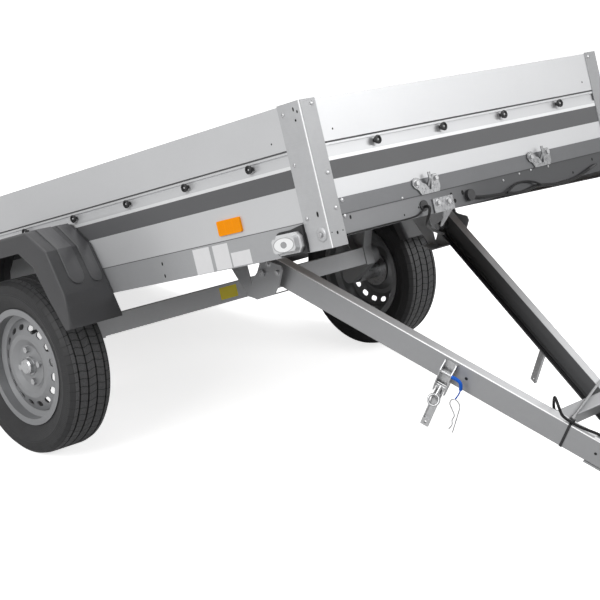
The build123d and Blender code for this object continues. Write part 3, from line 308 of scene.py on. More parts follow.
def mark_post(finish, numbers, colour):
    """A corner post's front face darkened by painted shade, and its fold with a painted highlight."""
    x, y, _ = numbers
    fold_highlight = x.absolute().above(POST_X - FOLD_HIGHLIGHT_WIDTH) * y.below(POST_FRONT_Y + FOLD_HIGHLIGHT_WIDTH)
    # Painted shade: the front face darkened
    colour = finish.mix(y.below(POST_FRONT_Y + 0.0006) * 0.36, colour, (0.06, 0.061, 0.063))
    # Painted highlight along the fold
    return finish.mix(fold_highlight, colour, FOLD_HIGHLIGHT_WHITE)


def mark_front(finish, numbers, colour):
    """The front cross member, darker towards the right by painted shade and lighter at its left end by painted light,
    and the dark joint between it and the strip above.
    """
    x, _, z = numbers
    member = z.below(FRAME_TOP)
    shaded = ((x + 0.3) * 4.0).clamp() * member
    # Painted shade: the member darkened towards the right
    colour = finish.mix(shaded * 0.8, colour, (0.05, 0.051, 0.054))
    # Painted light: the member lightened towards its left end
    colour = finish.mix((x * -2.0).clamp() * member * 0.2, colour, (0.40, 0.403, 0.41))
    return finish.mix((z - FRAME_TOP).absolute().below(0.0014) * 0.8, colour, JOINT_DARK)


def mark_boards(finish, numbers, colour):
    """The boards' dark joints and a painted highlight on the ledge above the stripe. Also where their outside is."""
    x, y, z = numbers
    joint = (z - SEAM_Z).absolute().below(JOINT_HALF) + z.below(FRAME_TOP + JOINT_HALF)
    colour = finish.mix(joint.clamp() * 0.8, colour, JOINT_DARK)
    outside = (
        x.absolute().above(WALL_X - SKIN) + y.below(FRONT_WALL_Y + SKIN) + y.above(REAR_WALL_Y - SKIN)
    ).clamp()
    # Painted highlight: the ledge just above the stripe lightened on the outside
    ledge_highlight = z.between(STRIPE_HIGH, STRIPE_HIGH + LEDGE_HIGHLIGHT_HEIGHT) * outside
    return finish.mix(ledge_highlight * 0.7, colour, (0.86, 0.865, 0.87)), outside


def galvanised_finish(name, light, contrast=0.1, roughness=0.42, matrix=bed_matrix, part=None, holes=()):
    """Zinc-coated sheet steel: soft mottling, faint rolling lines, and what one part has beside them."""
    finish = Finish(name)
    place, (x, y, z) = finish.turned(matrix)
    clouds = finish.noise(place, 7.0, 4.0)
    spangle = finish.noise(place, 60.0, 3.0)
    lines = finish.noise(finish.stretched(place, (2.0, 2.0, 150.0)), 4.0, 2.0)
    speckle = finish.noise(place, 450.0, 2.0)
    shade = clouds * 0.35 + spangle * 0.2 + speckle * 0.25 + lines * 0.2
    dark = tuple(channel * (1.0 - contrast) for channel in light)
    bright = tuple(channel * (1.0 + contrast) for channel in light)
    colour = finish.mix(shade, dark, bright)
    rough = clouds * 0.1 + (roughness - 0.05)
    metallic = 0.35
    if part == "arm":
        colour = mark_arm(finish, (x, y, z), colour)
    if part == "post":
        colour = mark_post(finish, (x, y, z), colour)
    if part == "front":
        colour = mark_front(finish, (x, y, z), colour)
    if part == "boards":
        colour, outside = mark_boards(finish, (x, y, z), colour)
        band = z.between(STRIPE_LOW, STRIPE_HIGH) * outside
        painted = finish.mix(speckle, (0.085, 0.086, 0.09), (0.108, 0.109, 0.113))
        colour = finish.mix(band, colour, painted)
        rough = rough + band * 0.08
        metallic = 0.35 - band * 0.35
    for face, faced_holes in holes:
        if face == "side":
            mask = hole_mask(y.absolute(), z, faced_holes) * x.absolute().above(WALL_X - 0.001)
        elif face == "front pair":
            mask = hole_mask(x.absolute(), z, faced_holes) * y.below(FRONT_WALL_Y + 0.001)
        else:
            mask = hole_mask(x, z, faced_holes) * y.below(FRONT_WALL_Y + 0.001)
        # Each hole painted near black: painted shade seen in it
        colour = finish.mix(mask.clamp(), colour, HOLE_SHADE_BLACK)
        rough = (rough + mask * 0.4).clamp()
    finish.set("Base Color", colour)
    finish.set("Roughness", rough)
    finish.set("Metallic", metallic)
    finish.bump(speckle * 0.5 + clouds * 0.5, 0.07, 0.0006)
    return finish.material


def zinc_finish(name="zinc", low=(0.34, 0.343, 0.35), high=(0.56, 0.563, 0.57)):
    """Bright zinc plating on small pressed parts."""
    finish = Finish(name, Metallic=0.85)
    place = finish.place()
    clouds = finish.noise(place, 130.0, 3.0)
    finish.set("Base Color", finish.mix(clouds, low, high))
    finish.set("Roughness", clouds * 0.2 + 0.2)
    finish.bump(finish.noise(place, 300.0, 2.0), 0.12, 0.0005)
    return finish.material


def plastic_finish(name, low, high, roughness=0.55, grain=900.0, strength=0.35):
    """Moulded plastic with a fine leather-like grain."""
    finish = Finish(name)
    place = finish.place()
    clouds = finish.noise(place, 12.0, 3.0)
    pores = finish.noise(place, grain, 2.0)
    finish.set("Base Color", finish.mix(clouds * 0.5 + pores * 0.5, low, high))
    finish.set("Roughness", pores * 0.15 + (roughness - 0.07))
    finish.bump(pores, strength, 0.0008)
    return finish.material


def rubber_finish(name="tyre_rubber"):
    """Black tyre rubber: sipes across the tread, fine rings and ribs on the sidewall, and a dusty cast."""
    finish = Finish(name, Specular_IOR_Level=0.4)
    place = finish.place()
    x, y, z = finish.axes(place)
    ahead = y + MIDDLE_Y
    above = z - TYRE_RADIUS
    radius = (ahead * ahead + above * above) ** 0.5
    turn = ahead.math("ARCTAN2", ahead, above)
    across = x.absolute() - WHEEL_X
    tread = radius.above(TYRE_RADIUS - 0.0185)
    slant = turn * 11.5 + (across * 120.0).math("SINE", across * 120.0) * 0.12
    middle_cut = (slant.math("FRACT", slant) - 0.5).absolute().above(0.44) * across.absolute().below(0.046)
    shoulder_turn = turn * 9.5 + across * 3.0
    shoulder_cut = (shoulder_turn.math("FRACT", shoulder_turn) - 0.5).absolute().above(0.455)
    shoulder_cut = shoulder_cut * across.absolute().above(0.05)
    rib_turn = turn * 38.2
    wall_ribs = (rib_turn.math("FRACT", rib_turn) - 0.5).absolute() * radius.between(0.242, 0.2535)
    ring_turn = radius * 1300.0
    rings = ring_turn.math("SINE", ring_turn) * radius.between(0.196, 0.212) * 0.5
    step = ((radius - 0.232).absolute() * -900.0 + 1.0).clamp()
    cuts = (middle_cut + shoulder_cut).clamp() * tread
    dust = finish.noise(place, 26.0, 4.0)
    grain = finish.noise(place, 700.0, 2.0)
    colour = finish.mix(dust, (0.011, 0.011, 0.012), (0.024, 0.024, 0.025))
    blocks = finish.noise(place, 240.0, 2.0)
    tread_colour = finish.mix(blocks, (0.030, 0.030, 0.031), (0.115, 0.115, 0.118))
    colour = finish.mix(tread * across.absolute().below(0.062), colour, tread_colour)
    # The sipes and shoulder cuts painted near black: painted shade in them
    finish.set("Base Color", finish.mix(cuts * 0.8, colour, (0.004, 0.004, 0.004)))
    finish.set("Roughness", grain * 0.15 + 0.48)
    finish.bump(grain * 0.12 - cuts + wall_ribs * 0.5 + rings * 0.2 + step * 0.5, 0.8, 0.0018)
    return finish.material


def wheel_paint_finish(name="wheel_paint"):
    """Silver-grey wheel paint over pressed steel."""
    finish = Finish(name, Coat_Roughness=0.25)
    place = finish.place()
    flake = finish.noise(place, 1500.0, 1.0)
    clouds = finish.noise(place, 14.0, 3.0)
    finish.set("Metallic", flake * 0.1 + 0.45)
    finish.set("Base Color", finish.mix(clouds * 0.6 + flake * 0.4, (0.22, 0.223, 0.23), (0.30, 0.303, 0.31)))
    finish.set("Roughness", clouds * 0.1 + 0.36)
    finish.set("Coat Weight", clouds * 0.1 + 0.15)
    finish.bump(finish.noise(place, 500.0, 2.0), 0.1, 0.0004)
    return finish.material


def plywood_finish(name="deck_plywood"):
    """Film-faced plywood: a dark brown film with a fine non-slip mesh."""
    finish = Finish(name)
    place, (x, y, _) = finish.turned(bed_matrix)
    clouds = finish.noise(place, 5.0, 4.0)
    mesh_x = (x * 700.0).math("SINE", x * 700.0)
    mesh_y = (y * 700.0).math("SINE", y * 700.0)
    mesh = (mesh_x * mesh_y).absolute()
    finish.set("Base Color", finish.mix(clouds * 0.7 + mesh * 0.3, (0.075, 0.042, 0.025), (0.14, 0.082, 0.05)))
    finish.set("Roughness", clouds * 0.15 + 0.42)
    finish.bump(mesh, 0.25, 0.0006)
    return finish.material


def lens_finish(name="lamp_lens"):
    """Lamp lenses with moulded ribs: clear at the front, red at the tail with amber and clear fields."""
    finish = Finish(name, Roughness=0.12, Specular_IOR_Level=0.6)
    place, (x, y, z) = finish.turned(bed_matrix)
    front = y.below(0.0)
    ribs = (y * 1500.0).math("SINE", y * 1500.0) * front + (x * 1100.0).math("SINE", x * 1100.0) * (1.0 - front)
    side = (y - LENS_Y).absolute()
    rise = (z - LENS_Z).absolute()
    outward = x.absolute() - WALL_X
    oval = (side / 0.037) * (side / 0.037) + (rise / 0.0175) * (rise / 0.0175)
    core = (side / 0.012) * (side / 0.012) + (rise / 0.0085) * (rise / 0.0085)
    clear = finish.mix(outward.above(0.014), (0.30, 0.303, 0.31), (0.62, 0.625, 0.635))
    clear = finish.mix(oval.below(1.0), clear, (0.90, 0.905, 0.91))
    clear = finish.mix((oval - 1.1).absolute().below(0.12) * 0.6, clear, (0.22, 0.222, 0.23))
    clear = finish.mix(core.below(1.0) * 0.85, clear, (0.20, 0.203, 0.21))
    clouds = finish.noise(place, 300.0, 2.0)
    amber_field = x.absolute().between(0.55, 0.70)
    clear_field = x.absolute().between(0.455, 0.485)
    red = finish.mix(clouds, (0.42, 0.010, 0.012), (0.56, 0.018, 0.018))
    tail = finish.mix(amber_field, red, (0.85, 0.25, 0.012))
    tail = finish.mix(clear_field, tail, (0.75, 0.75, 0.76))
    finish.set("Base Color", finish.mix(front, tail, clear))
    finish.set("Coat Weight", clouds * 0.2 + 0.8)
    finish.bump(ribs * 0.5 + 0.5, 0.35, 0.0008)
    return finish.material


def reflector_finish(name="amber_reflector"):
    """An amber reflector: a smooth rim round three fields of small prisms."""
    finish = Finish(name, Specular_IOR_Level=0.1)
    _, (_, y, z) = finish.turned(bed_matrix)
    prism_y = (y * 1800.0).math("SINE", y * 1800.0)
    prism_z = (z * 1800.0).math("SINE", z * 1800.0)
    across = (y - REFLECTOR_Y).absolute()
    rim = across.above(0.0445).math("MAXIMUM", across.above(0.0445), (z - REFLECTOR_Z).absolute().above(0.0165))
    bars = (across - 0.0165).absolute().below(0.0012)
    plain = (rim + bars).clamp()
    prisms = (prism_y * prism_z) * (1.0 - plain)
    colour = finish.mix(prisms * 0.5 + 0.5, (0.90, 0.25, 0.0), (0.98, 0.35, 0.0))
    finish.set("Base Color", finish.mix(plain * 0.7, colour, (1.0, 0.33, 0.0)))
    finish.set("Roughness", prisms * 0.08 + 0.3)
    finish.set("Coat Weight", prisms * 0.02 + 0.02)
    finish.bump(prisms * 0.5 + 0.5, 0.3, 0.0006)
    return finish.material


def cord_finish(name, low, high, weave):
    """A sheathed cord or lead: its colour, and a fine woven or drawn surface."""
    finish = Finish(name, Specular_IOR_Level=0.25)
    place = finish.place()
    threads = finish.noise(place, weave, 2.0)
    finish.set("Base Color", finish.mix(threads, low, high))
    finish.set("Roughness", threads * 0.2 + 0.4)
    finish.bump(threads, 0.3, 0.0004)
    return finish.material


def label_finish(name, low, high):
    """A blank sticker: its film, very slightly uneven."""
    finish = Finish(name)
    place = finish.place()
    film = finish.noise(place, 40.0, 3.0)
    finish.set("Base Color", finish.mix(film, low, high))
    finish.set("Roughness", film * 0.1 + 0.3)
    finish.bump(film, 0.05, 0.0003)
    return finish.material


BOARD_GREY = (0.60, 0.605, 0.615)
POST_GREY = (0.48, 0.485, 0.495)
SHEET_GREY = (0.40, 0.405, 0.415)
# The front strip and front cross member: the members' galvanised sheet made much darker, as painted shade
FRONT_SHEET_SHADED_GREY = (0.145, 0.148, 0.154)
ARM_GREY = (0.36, 0.363, 0.372)
CROSS_TUBE_GREY = (0.40, 0.403, 0.412)
board_holes = (("side", BOARD_HOLES), ("front pair", FRONT_BOARD_HOLES))
post_holes = (("side", POST_SIDE_HOLES), ("front pair", POST_FRONT_HOLES))
finishes = {
    "boards": galvanised_finish("boards", BOARD_GREY, 0.05, 0.40, part="boards", holes=board_holes),
    "posts": galvanised_finish("posts", POST_GREY, 0.24, 0.42, part="post", holes=post_holes),
    "member": galvanised_finish("members", SHEET_GREY, 0.16, 0.38, holes=(("side", MEMBER_SIDE_HOLES),)),
    "shaded front sheet": galvanised_finish(
        "front_sheet_shaded", FRONT_SHEET_SHADED_GREY, 0.2, 0.36, part="front", holes=(("front", MEMBER_FRONT_HOLES),),
    ),
    "frame": galvanised_finish("frame", SHEET_GREY, 0.2, 0.44),
    "cross tube": galvanised_finish("cross_tube", CROSS_TUBE_GREY, 0.12, 0.44, drawbar_matrix),
    "arms": galvanised_finish("arms", ARM_GREY, 0.12, 0.44, drawbar_matrix, "arm"),
    "zinc": zinc_finish(),
    "dull zinc": zinc_finish("dull_zinc", (0.17, 0.172, 0.177), (0.42, 0.423, 0.43)),
    "guard": plastic_finish("guard_plastic", (0.036, 0.036, 0.038), (0.060, 0.060, 0.063), 0.5, 900.0, 0.2),
    # The ribs: a lighter copy of the guard's plastic, as painted light on them
    "lit guard rib": plastic_finish("guard_rib_lit_plastic", (0.060, 0.060, 0.063), (0.090, 0.090, 0.094), 0.42, 900.0, 0.2),
    "black": plastic_finish("black_plastic", (0.007, 0.007, 0.008), (0.018, 0.018, 0.020), 0.45, 1400.0, 0.2),
    "tyre": rubber_finish(),
    "wheel": wheel_paint_finish(),
    "deck": plywood_finish(),
    "lens": lens_finish(),
    "amber": reflector_finish(),
    "cable": cord_finish("cable_sheath", (0.004, 0.004, 0.004), (0.010, 0.010, 0.011), 500.0),
    "blue": cord_finish("blue_sheath", (0.003, 0.085, 0.50), (0.006, 0.14, 0.68), 900.0),
    "white label": label_finish("white_label", (0.72, 0.72, 0.73), (0.78, 0.78, 0.79)),
    "yellow label": label_finish("yellow_label", (0.95, 0.76, 0.015), (1.0, 0.84, 0.03)),
}


def dress(name, finish):
    """Give a CAD node its finish."""
    mesh = nodes[name].data
    mesh.materials.clear()
    mesh.materials.append(finishes[finish])


finish_of_nodes = (
    ("hinge_knuckles", "zinc"), ("hinge_straps", "zinc"), ("knobs", "black"), ("plank", "boards"),
    ("_post", "posts"), ("front_strip", "shaded front sheet"), ("front_cross_member", "shaded front sheet"),
    ("side_member", "member"), ("floor_deck", "deck"), ("tyre_", "tyre"), ("rim_", "wheel"),
    ("hub_", "zinc"), ("wheel_bolts", "zinc"), ("hinge_pins", "zinc"), ("mudguard", "guard"),
    ("drawbar_arm", "arms"), ("nose_plates", "arms"),
    ("cross_tube", "cross tube"), ("coupling_head", "zinc"), ("lamp_housings", "black"), ("lamp_lenses", "lens"),
    ("side_reflectors", "amber"), ("front_fittings", "dull zinc"), ("latch_lanyard", "blue"), ("latch", "zinc"),
    ("stay_rod", "zinc"), ("drawbar_cable", "cable"), ("cable_jumper", "cable"), ("bed_wiring", "cable"),
    ("wiring_fittings", "black"), ("drawbar_plug", "black"),
)
for node_name in nodes:
    for word, finish_name in finish_of_nodes:
        if word in node_name:
            dress(node_name, finish_name)
            break
    else:
        dress(node_name, "frame")


# Modelling helpers
def pick_only(piece):
    """Select one piece and nothing else."""
    bpy.ops.object.select_all(action="DESELECT")
    piece.select_set(True)
    bpy.context.view_layer.objects.active = piece


def pick_corners(piece, test):
    """In edit mode, pick the corners that pass a test."""
    bpy.ops.mesh.select_mode(type="VERT")
    bpy.ops.mesh.select_all(action="DESELECT")
    mesh = bmesh.from_edit_mesh(piece.data)
    for corner in mesh.verts:
        corner.select_set(test(corner))
    bmesh.update_edit_mesh(piece.data)


def add_modifier(piece, kind, **settings):
    """Add a modifier with its settings and apply it."""
    modifier = piece.modifiers.new(kind.lower(), kind)
    for key, value in settings.items():
        setattr(modifier, key, value)
    bpy.ops.object.modifier_apply(modifier=modifier.name)


def begin(name, add, **sizes):
    """Add a primitive with nothing else selected, and open it in edit mode with nothing picked."""
    bpy.ops.object.select_all(action="DESELECT")
    add(**sizes)
    piece = bpy.context.object
    piece.name = name
    bpy.ops.object.mode_set(mode="EDIT")
    bpy.ops.mesh.select_all(action="DESELECT")
    return piece


def pick_faces(piece, test):
    """In edit mode, pick the faces whose middle and normal pass a test."""
    bpy.ops.mesh.select_mode(type="FACE")
    bpy.ops.mesh.select_all(action="DESELECT")
    mesh = bmesh.from_edit_mesh(piece.data)
    for face in mesh.faces:
        face.select_set(test(face.calc_center_median(), face.normal))
    bmesh.update_edit_mesh(piece.data)


def pick_edges(piece, test):
    """In edit mode, pick the edges whose middle and direction pass a test."""
    bpy.ops.mesh.select_mode(type="EDGE")
    bpy.ops.mesh.select_all(action="DESELECT")
    mesh = bmesh.from_edit_mesh(piece.data)
    for edge in mesh.edges:
        first, second = (vert.co for vert in edge.verts)
        edge.select_set(test((first + second) / 2, (second - first).normalized()))
    bmesh.update_edit_mesh(piece.data)


def leave_edit(piece, smooth=35.0):
    """Close edit mode, with the piece smooth but for its sharp edges and its place in its mesh."""
    bpy.ops.object.mode_set(mode="OBJECT")
    pick_only(piece)
    bpy.ops.object.transform_apply(location=True, rotation=True, scale=True)
    bpy.ops.object.shade_smooth_by_angle(angle=math.radians(smooth))
    return piece


def settle(piece, name, body, finish):
    """Name a finished piece, put its place in its mesh, give it its finish and fix it to a body."""
    pick_only(piece)
    bpy.ops.object.transform_apply(location=True, rotation=True, scale=True)
    piece.name = name
    piece.data.materials.clear()
    piece.data.materials.append(finishes[finish])
    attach(piece, body)
    return piece


def facing(point, outward, spin=0.0):
    """A place for a small part: its foot at a point, its top turned outwards."""
    turn = Vector(outward).to_track_quat("Z", "Y").to_matrix().to_4x4()
    return Matrix.Translation(point) @ turn @ Matrix.Rotation(math.radians(spin), 4, "Z")


def spread(master, name, body, finish, drawing, places):
    """Copy a small part to each place, join the copies to one piece and fix it to a body."""
    copies = []
    for place in places:
        copy = master.copy()
        copy.data = master.data.copy()
        bpy.context.collection.objects.link(copy)
        copy.matrix_world = drawing @ place
        copies.append(copy)
    bpy.context.view_layer.update()
    bpy.ops.object.select_all(action="DESELECT")
    for copy in copies:
        copy.select_set(True)
    bpy.context.view_layer.objects.active = copies[0]
    bpy.ops.object.join()
    return settle(bpy.context.object, name, body, finish)


def smooth_line(name, drawing, route, radius):
    """A round cord along a smooth line through its control points."""
    curve = bpy.data.curves.new(name, "CURVE")
    curve.dimensions = "3D"
    curve.resolution_u = 10
    curve.bevel_depth = radius
    curve.bevel_resolution = 3
    curve.use_fill_caps = True
    spline = curve.splines.new("NURBS")
    spline.points.add(len(route) - 1)
    for control, point in zip(spline.points, route):
        control.co = (*(drawing @ Vector(point)), 1.0)
    spline.order_u = 3
    spline.use_endpoint_u = True
    cord = bpy.data.objects.new(name, curve)
    bpy.context.collection.objects.link(cord)
    return cord


def line_points(cord):
    """The points along a cord's own line."""
    bare = cord.copy()
    bare.data = cord.data.copy()
    bare.data.bevel_depth = 0.0
    bpy.context.collection.objects.link(bare)
    mesh = bpy.data.meshes.new_from_object(bare)
    points = [tuple(vertex.co) for vertex in mesh.vertices]
    bpy.data.objects.remove(bare)
    bpy.data.meshes.remove(mesh)
    return points


# Small parts, each modelled once with its foot at z = 0
def draw_up(piece, steps):
    """Extrude the top face upwards by each lift and scale it by each share."""
    for lift, share in steps:
        pick_faces(piece, lambda middle, normal: normal.z > 0.9)
        bpy.ops.mesh.extrude_region_move(TRANSFORM_OT_translate={"value": (0.0, 0.0, lift)})
        bpy.ops.transform.resize(value=(share, share, 1.0))


def make_rivet(radius, height):
    """A pressed rivet head: a short round drawn in twice to a low dome."""
    rivet = begin(
        "rivet", bpy.ops.mesh.primitive_cylinder_add, vertices=16, radius=radius, depth=height * 0.4,
        location=(0.0, 0.0, height * 0.2),
    )
    draw_up(rivet, ((height * 0.4, 0.78), (height * 0.2, 0.55)))
    return leave_edit(rivet, 60.0)


def make_bolt(radius, height, washer):
    """A hexagon head with chamfered corners on a thin washer."""
    bolt = begin(
        "bolt", bpy.ops.mesh.primitive_cylinder_add, vertices=6, radius=radius, depth=height,
        location=(0.0, 0.0, height / 2),
    )
    pick_faces(bolt, lambda middle, normal: normal.z > 0.9)
    bpy.ops.mesh.inset(thickness=radius * 0.12)
    bpy.ops.transform.translate(value=(0.0, 0.0, height * 0.12))
    pick_edges(bolt, lambda middle, direction: abs(direction.z) > 0.9)
    bpy.ops.mesh.bevel(offset=radius * 0.06, segments=1)
    bpy.ops.mesh.select_all(action="DESELECT")
    bpy.ops.mesh.primitive_cylinder_add(vertices=24, radius=washer, depth=height * 0.3, location=(0.0, 0.0, 0.0))
    bpy.ops.mesh.bevel(offset=height * 0.08, segments=1)
    return leave_edit(bolt, 30.0)


def make_knob_face(radius):
    """The dished outer face of a tarp knob: a rolled lip round a sunk middle."""
    face = begin(
        "knob_face", bpy.ops.mesh.primitive_cylinder_add, vertices=24, radius=radius, depth=0.003,
        location=(0.0, 0.0, 0.0015),
    )
    pick_faces(face, lambda middle, normal: normal.z > 0.9)
    bpy.ops.mesh.inset(thickness=radius * 0.12, depth=0.0012)
    bpy.ops.mesh.inset(thickness=radius * 0.18)
    bpy.ops.mesh.inset(thickness=radius * 0.12, depth=-0.0036)
    pick_faces(face, lambda middle, normal: normal.z < -0.9)
    bpy.ops.mesh.extrude_region_move(TRANSFORM_OT_translate={"value": (0.0, 0.0, -0.0045)})
    bpy.ops.transform.resize(value=(0.62, 0.62, 1.0))
    return leave_edit(face, 50.0)


def make_label(length, height, corner, gauge=0.0003):
    """A sticker with rounded corners."""
    label = begin("label", bpy.ops.mesh.primitive_plane_add, size=1.0)
    bpy.ops.mesh.select_all(action="SELECT")
    bpy.ops.transform.resize(value=(length, height, 1.0))
    bpy.ops.mesh.bevel(offset=corner, segments=3, affect="VERTICES")
    bpy.ops.mesh.select_all(action="SELECT")
    bpy.ops.mesh.extrude_region_move(TRANSFORM_OT_translate={"value": (0.0, 0.0, gauge)})
    bpy.ops.mesh.select_all(action="SELECT")
    bpy.ops.mesh.normals_make_consistent(inside=False)
    return leave_edit(label, 30.0)


def make_band(across, along, up, corner=0.004, gauge=0.0013):
    """A tie band closed round a section that is across wide and up high, with its lock on top."""
    band = begin("band", bpy.ops.mesh.primitive_cube_add, size=1.0)
    bpy.ops.mesh.select_all(action="SELECT")
    bpy.ops.transform.resize(value=(across, along, up))
    pick_edges(band, lambda middle, direction: abs(direction.y) > 0.9)
    bpy.ops.mesh.bevel(offset=corner, segments=3)
    pick_faces(band, lambda middle, normal: abs(normal.y) > 0.9)
    bpy.ops.mesh.delete(type="FACE")
    bpy.ops.object.mode_set(mode="OBJECT")
    add_modifier(band, "SOLIDIFY", thickness=gauge, offset=1.0)
    bpy.ops.object.mode_set(mode="EDIT")
    bpy.ops.mesh.select_all(action="DESELECT")
    bpy.ops.mesh.primitive_cube_add(size=1.0, location=(across * 0.28, 0.0, up / 2 + gauge + 0.0018))
    bpy.ops.transform.resize(value=(0.0075, along * 1.35, 0.0045))
    bpy.ops.mesh.bevel(offset=0.0008, segments=2)
    return leave_edit(band, 40.0)


def make_valve():
    """A rubber tyre valve with its ribbed cap."""
    valve = begin(
        "valve", bpy.ops.mesh.primitive_cylinder_add, vertices=16, radius=0.0075, depth=0.006,
        location=(0.0, 0.0, 0.003),
    )
    draw_up(valve, ((0.003, 0.62), (0.016, 0.95), (0.0005, 1.35), (0.011, 1.0), (0.002, 0.7)))
    return leave_edit(valve, 40.0)


def make_dome():
    """A pressed dome at the foot of a front post."""
    dome = begin(
        "dome", bpy.ops.mesh.primitive_cylinder_add, vertices=32, radius=0.019, depth=0.001,
        location=(0.0, 0.0, 0.0005),
    )
    draw_up(dome, ((0.0022, 0.86), (0.0012, 0.8)))
    return leave_edit(dome, 60.0)


def mirrored(places):
    """Places for each point and direction, and the same on the other side of the trailer."""
    return [
        facing((side * point[0], *point[1:]), (side * outward[0], *outward[1:]))
        for side in (1, -1) for point, outward in places
    ]


def arm_point(side, ahead, inset, height):
    """A point by a drawbar arm: its distance ahead of the hinge, how far inside the web's face, and its height."""
    splay = math.radians(ARM_SPLAY)
    out = ARM_HALF_SPREAD - ahead * math.tan(splay) - inset / math.cos(splay)
    return Vector((side * out, -ahead, height))


AHEAD = (0.0, -1.0, 0.0)
BEHIND = (0.0, 1.0, 0.0)
OUTWARD = (1.0, 0.0, 0.0)

# The loose lead from the bed to the drawbar
jumper_bed_route = [
    (-0.270, -1.2718, 0.206), (-0.270, -1.285, 0.206), (-0.276, -1.291, 0.193), (-0.282, -1.284, 0.175),
    (-0.268, -1.262, 0.162), (-0.238, -1.232, 0.154), (-0.174, -1.180, 0.145), (-0.071, -1.100, 0.131),
    (0.058, -1.000, 0.117), (0.150, -0.930, 0.108),
]
jumper_arm_route = [
    (0.243, -0.104, 0.062), (0.290, -0.062, 0.038), (0.338, -0.026, 0.006), (0.362, -0.040, -0.0138),
    (0.3513, -0.0719, -0.0138),
]
arm_in_bed = bed_matrix.inverted() @ drawbar_matrix
jumper_route = jumper_bed_route + [tuple(arm_in_bed @ Vector(point)) for point in jumper_arm_route]
jumper = smooth_line("jumper_lead", bed_matrix, jumper_route, 0.004)
jumper_path = line_points(jumper)
pick_only(jumper)
bpy.ops.object.convert(target="MESH")
jumper = bpy.context.object
jumper.data.materials.clear()
jumper.data.materials.append(finishes["cable"])
bpy.ops.object.shade_smooth()
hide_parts("cable_jumper")
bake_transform(jumper)

# The lanyard of the left latch's clip: a sleeve over its root, then the bare cord
CORD_INSET = -0.025
SLEEVE_ROUTE = ((0.6055, 0.017), (0.625, 0.019), (0.638, 0.010), (0.641, -0.006))
CORD_ROUTE = ((0.641, -0.006), (0.6415, -0.017), (0.640, -0.028), (0.6375, -0.040))
sleeve_route = [arm_point(-1, ahead, CORD_INSET, up) for ahead, up in SLEEVE_ROUTE]
cord_route = [arm_point(-1, ahead, CORD_INSET, up) for ahead, up in CORD_ROUTE]
sleeve = smooth_line("lanyard_sleeve", drawbar_matrix, sleeve_route, 0.005)
sleeve.data.materials.append(finishes["blue"])
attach(sleeve, "drawbar")
lanyard = smooth_line("lanyard_cord", drawbar_matrix, cord_route, 0.002)
lanyard.data.materials.append(finishes["blue"])
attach(lanyard, "drawbar")
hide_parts("latch_lanyard")

# Rivets and bolts on the bed
post_rivet_places = [((POST_X, -1.203, up), OUTWARD) for up in (0.5155, 0.3858, 0.2465)]
post_rivet_places += [((0.595, POST_FRONT_Y, up), AHEAD) for up in (0.5275, 0.3490, 0.2587)]
post_rivet_places += [((POST_X, 1.2255, up), OUTWARD) for up in (0.5155, 0.3858, 0.2465)]
post_rivet_places += [((0.567, STRIP_Y, 0.2735), AHEAD), ((0.5685, FRONT_WALL_Y, 0.2328), AHEAD)]
rivet = make_rivet(0.0056, 0.0028)
spread(rivet, "post_rivets", "bed", "zinc", bed_matrix, mirrored(post_rivet_places))
small_rivet = make_rivet(0.0034, 0.0018)
small_places = [(-0.5634, 0.2729), (-0.3484, 0.2420), (-0.2092, 0.2445), (0.0747, 0.2234), (0.1509, 0.2312),
                (0.2058, 0.2338), (0.2879, 0.2326)]
spread(
    small_rivet, "strip_rivets", "bed", "zinc", bed_matrix,
    [facing((x, STRIP_Y if up > FRAME_TOP else FRONT_WALL_Y, up), AHEAD) for x, up in small_places],
)
bolt = make_bolt(0.0075, 0.0055, 0.0105)
bolt_places = [facing((x, FRONT_WALL_Y - 0.004, up), AHEAD) for x, up in ((-0.218, 0.207), (-0.176, 0.205))]
bolt_places += [
    facing((side * 0.249 + shift, STRIP_Y - 0.004, FRAME_TOP + up), AHEAD)
    for side in (-1, 1) for shift, up in ((-0.037, 0.033), (0.041, 0.037))
]
cheek_x = 0.4155
bolt_places += mirrored([((cheek_x, y, up), OUTWARD) for y, up in ((-0.7654, 0.1462), (-0.7958, 0.1158))])
spread(bolt, "bed_bolts", "bed", "zinc", bed_matrix, bolt_places)

# A pressed dome with a bolt at the foot of each front post
dome = make_dome()
spread(dome, "post_domes", "bed", "posts", bed_matrix, mirrored([((POST_X, DOME_Y, DOME_Z), OUTWARD)]))
spread(bolt, "post_bolts", "bed", "zinc", bed_matrix, mirrored([((POST_X + 0.004, DOME_Y, DOME_Z), OUTWARD)]))

# Tarp knobs: a dished face and a screw in each
KNOB_Z = 0.4055
KNOB_REACH = 0.009
knob_sides = [-1.2485 + 0.2125 + 0.277 * place for place in range(9)]
knob_fronts = [-0.39675 + 0.2645 * place for place in range(4)]
bed_knobs = mirrored([((WALL_X + KNOB_REACH, y, KNOB_Z), OUTWARD) for y in knob_sides])
bed_knobs += [facing((x, FRONT_WALL_Y - KNOB_REACH, KNOB_Z), AHEAD) for x in knob_fronts]
gate_knobs = [facing((x, REAR_WALL_Y + KNOB_REACH, KNOB_Z), BEHIND) for x in knob_fronts]
knob_face = make_knob_face(0.0118)
knob_screw = make_rivet(0.0032, 0.0026)
spread(knob_face, "knob_faces", "bed", "black", bed_matrix, bed_knobs)
spread(knob_screw, "knob_screws", "bed", "zinc", bed_matrix, bed_knobs)
spread(knob_face, "gate_knob_faces", "tailgate", "black", bed_matrix, gate_knobs)
spread(knob_screw, "gate_knob_screws", "tailgate", "zinc", bed_matrix, gate_knobs)

# A black seat behind each front marker lens
lens_seat = make_label(0.116, 0.067, 0.019, 0.006)
spread(lens_seat, "marker_seats", "bed", "black", bed_matrix, mirrored([((WALL_X, LENS_Y, LENS_Z), OUTWARD)]))
bpy.data.objects.remove(lens_seat)


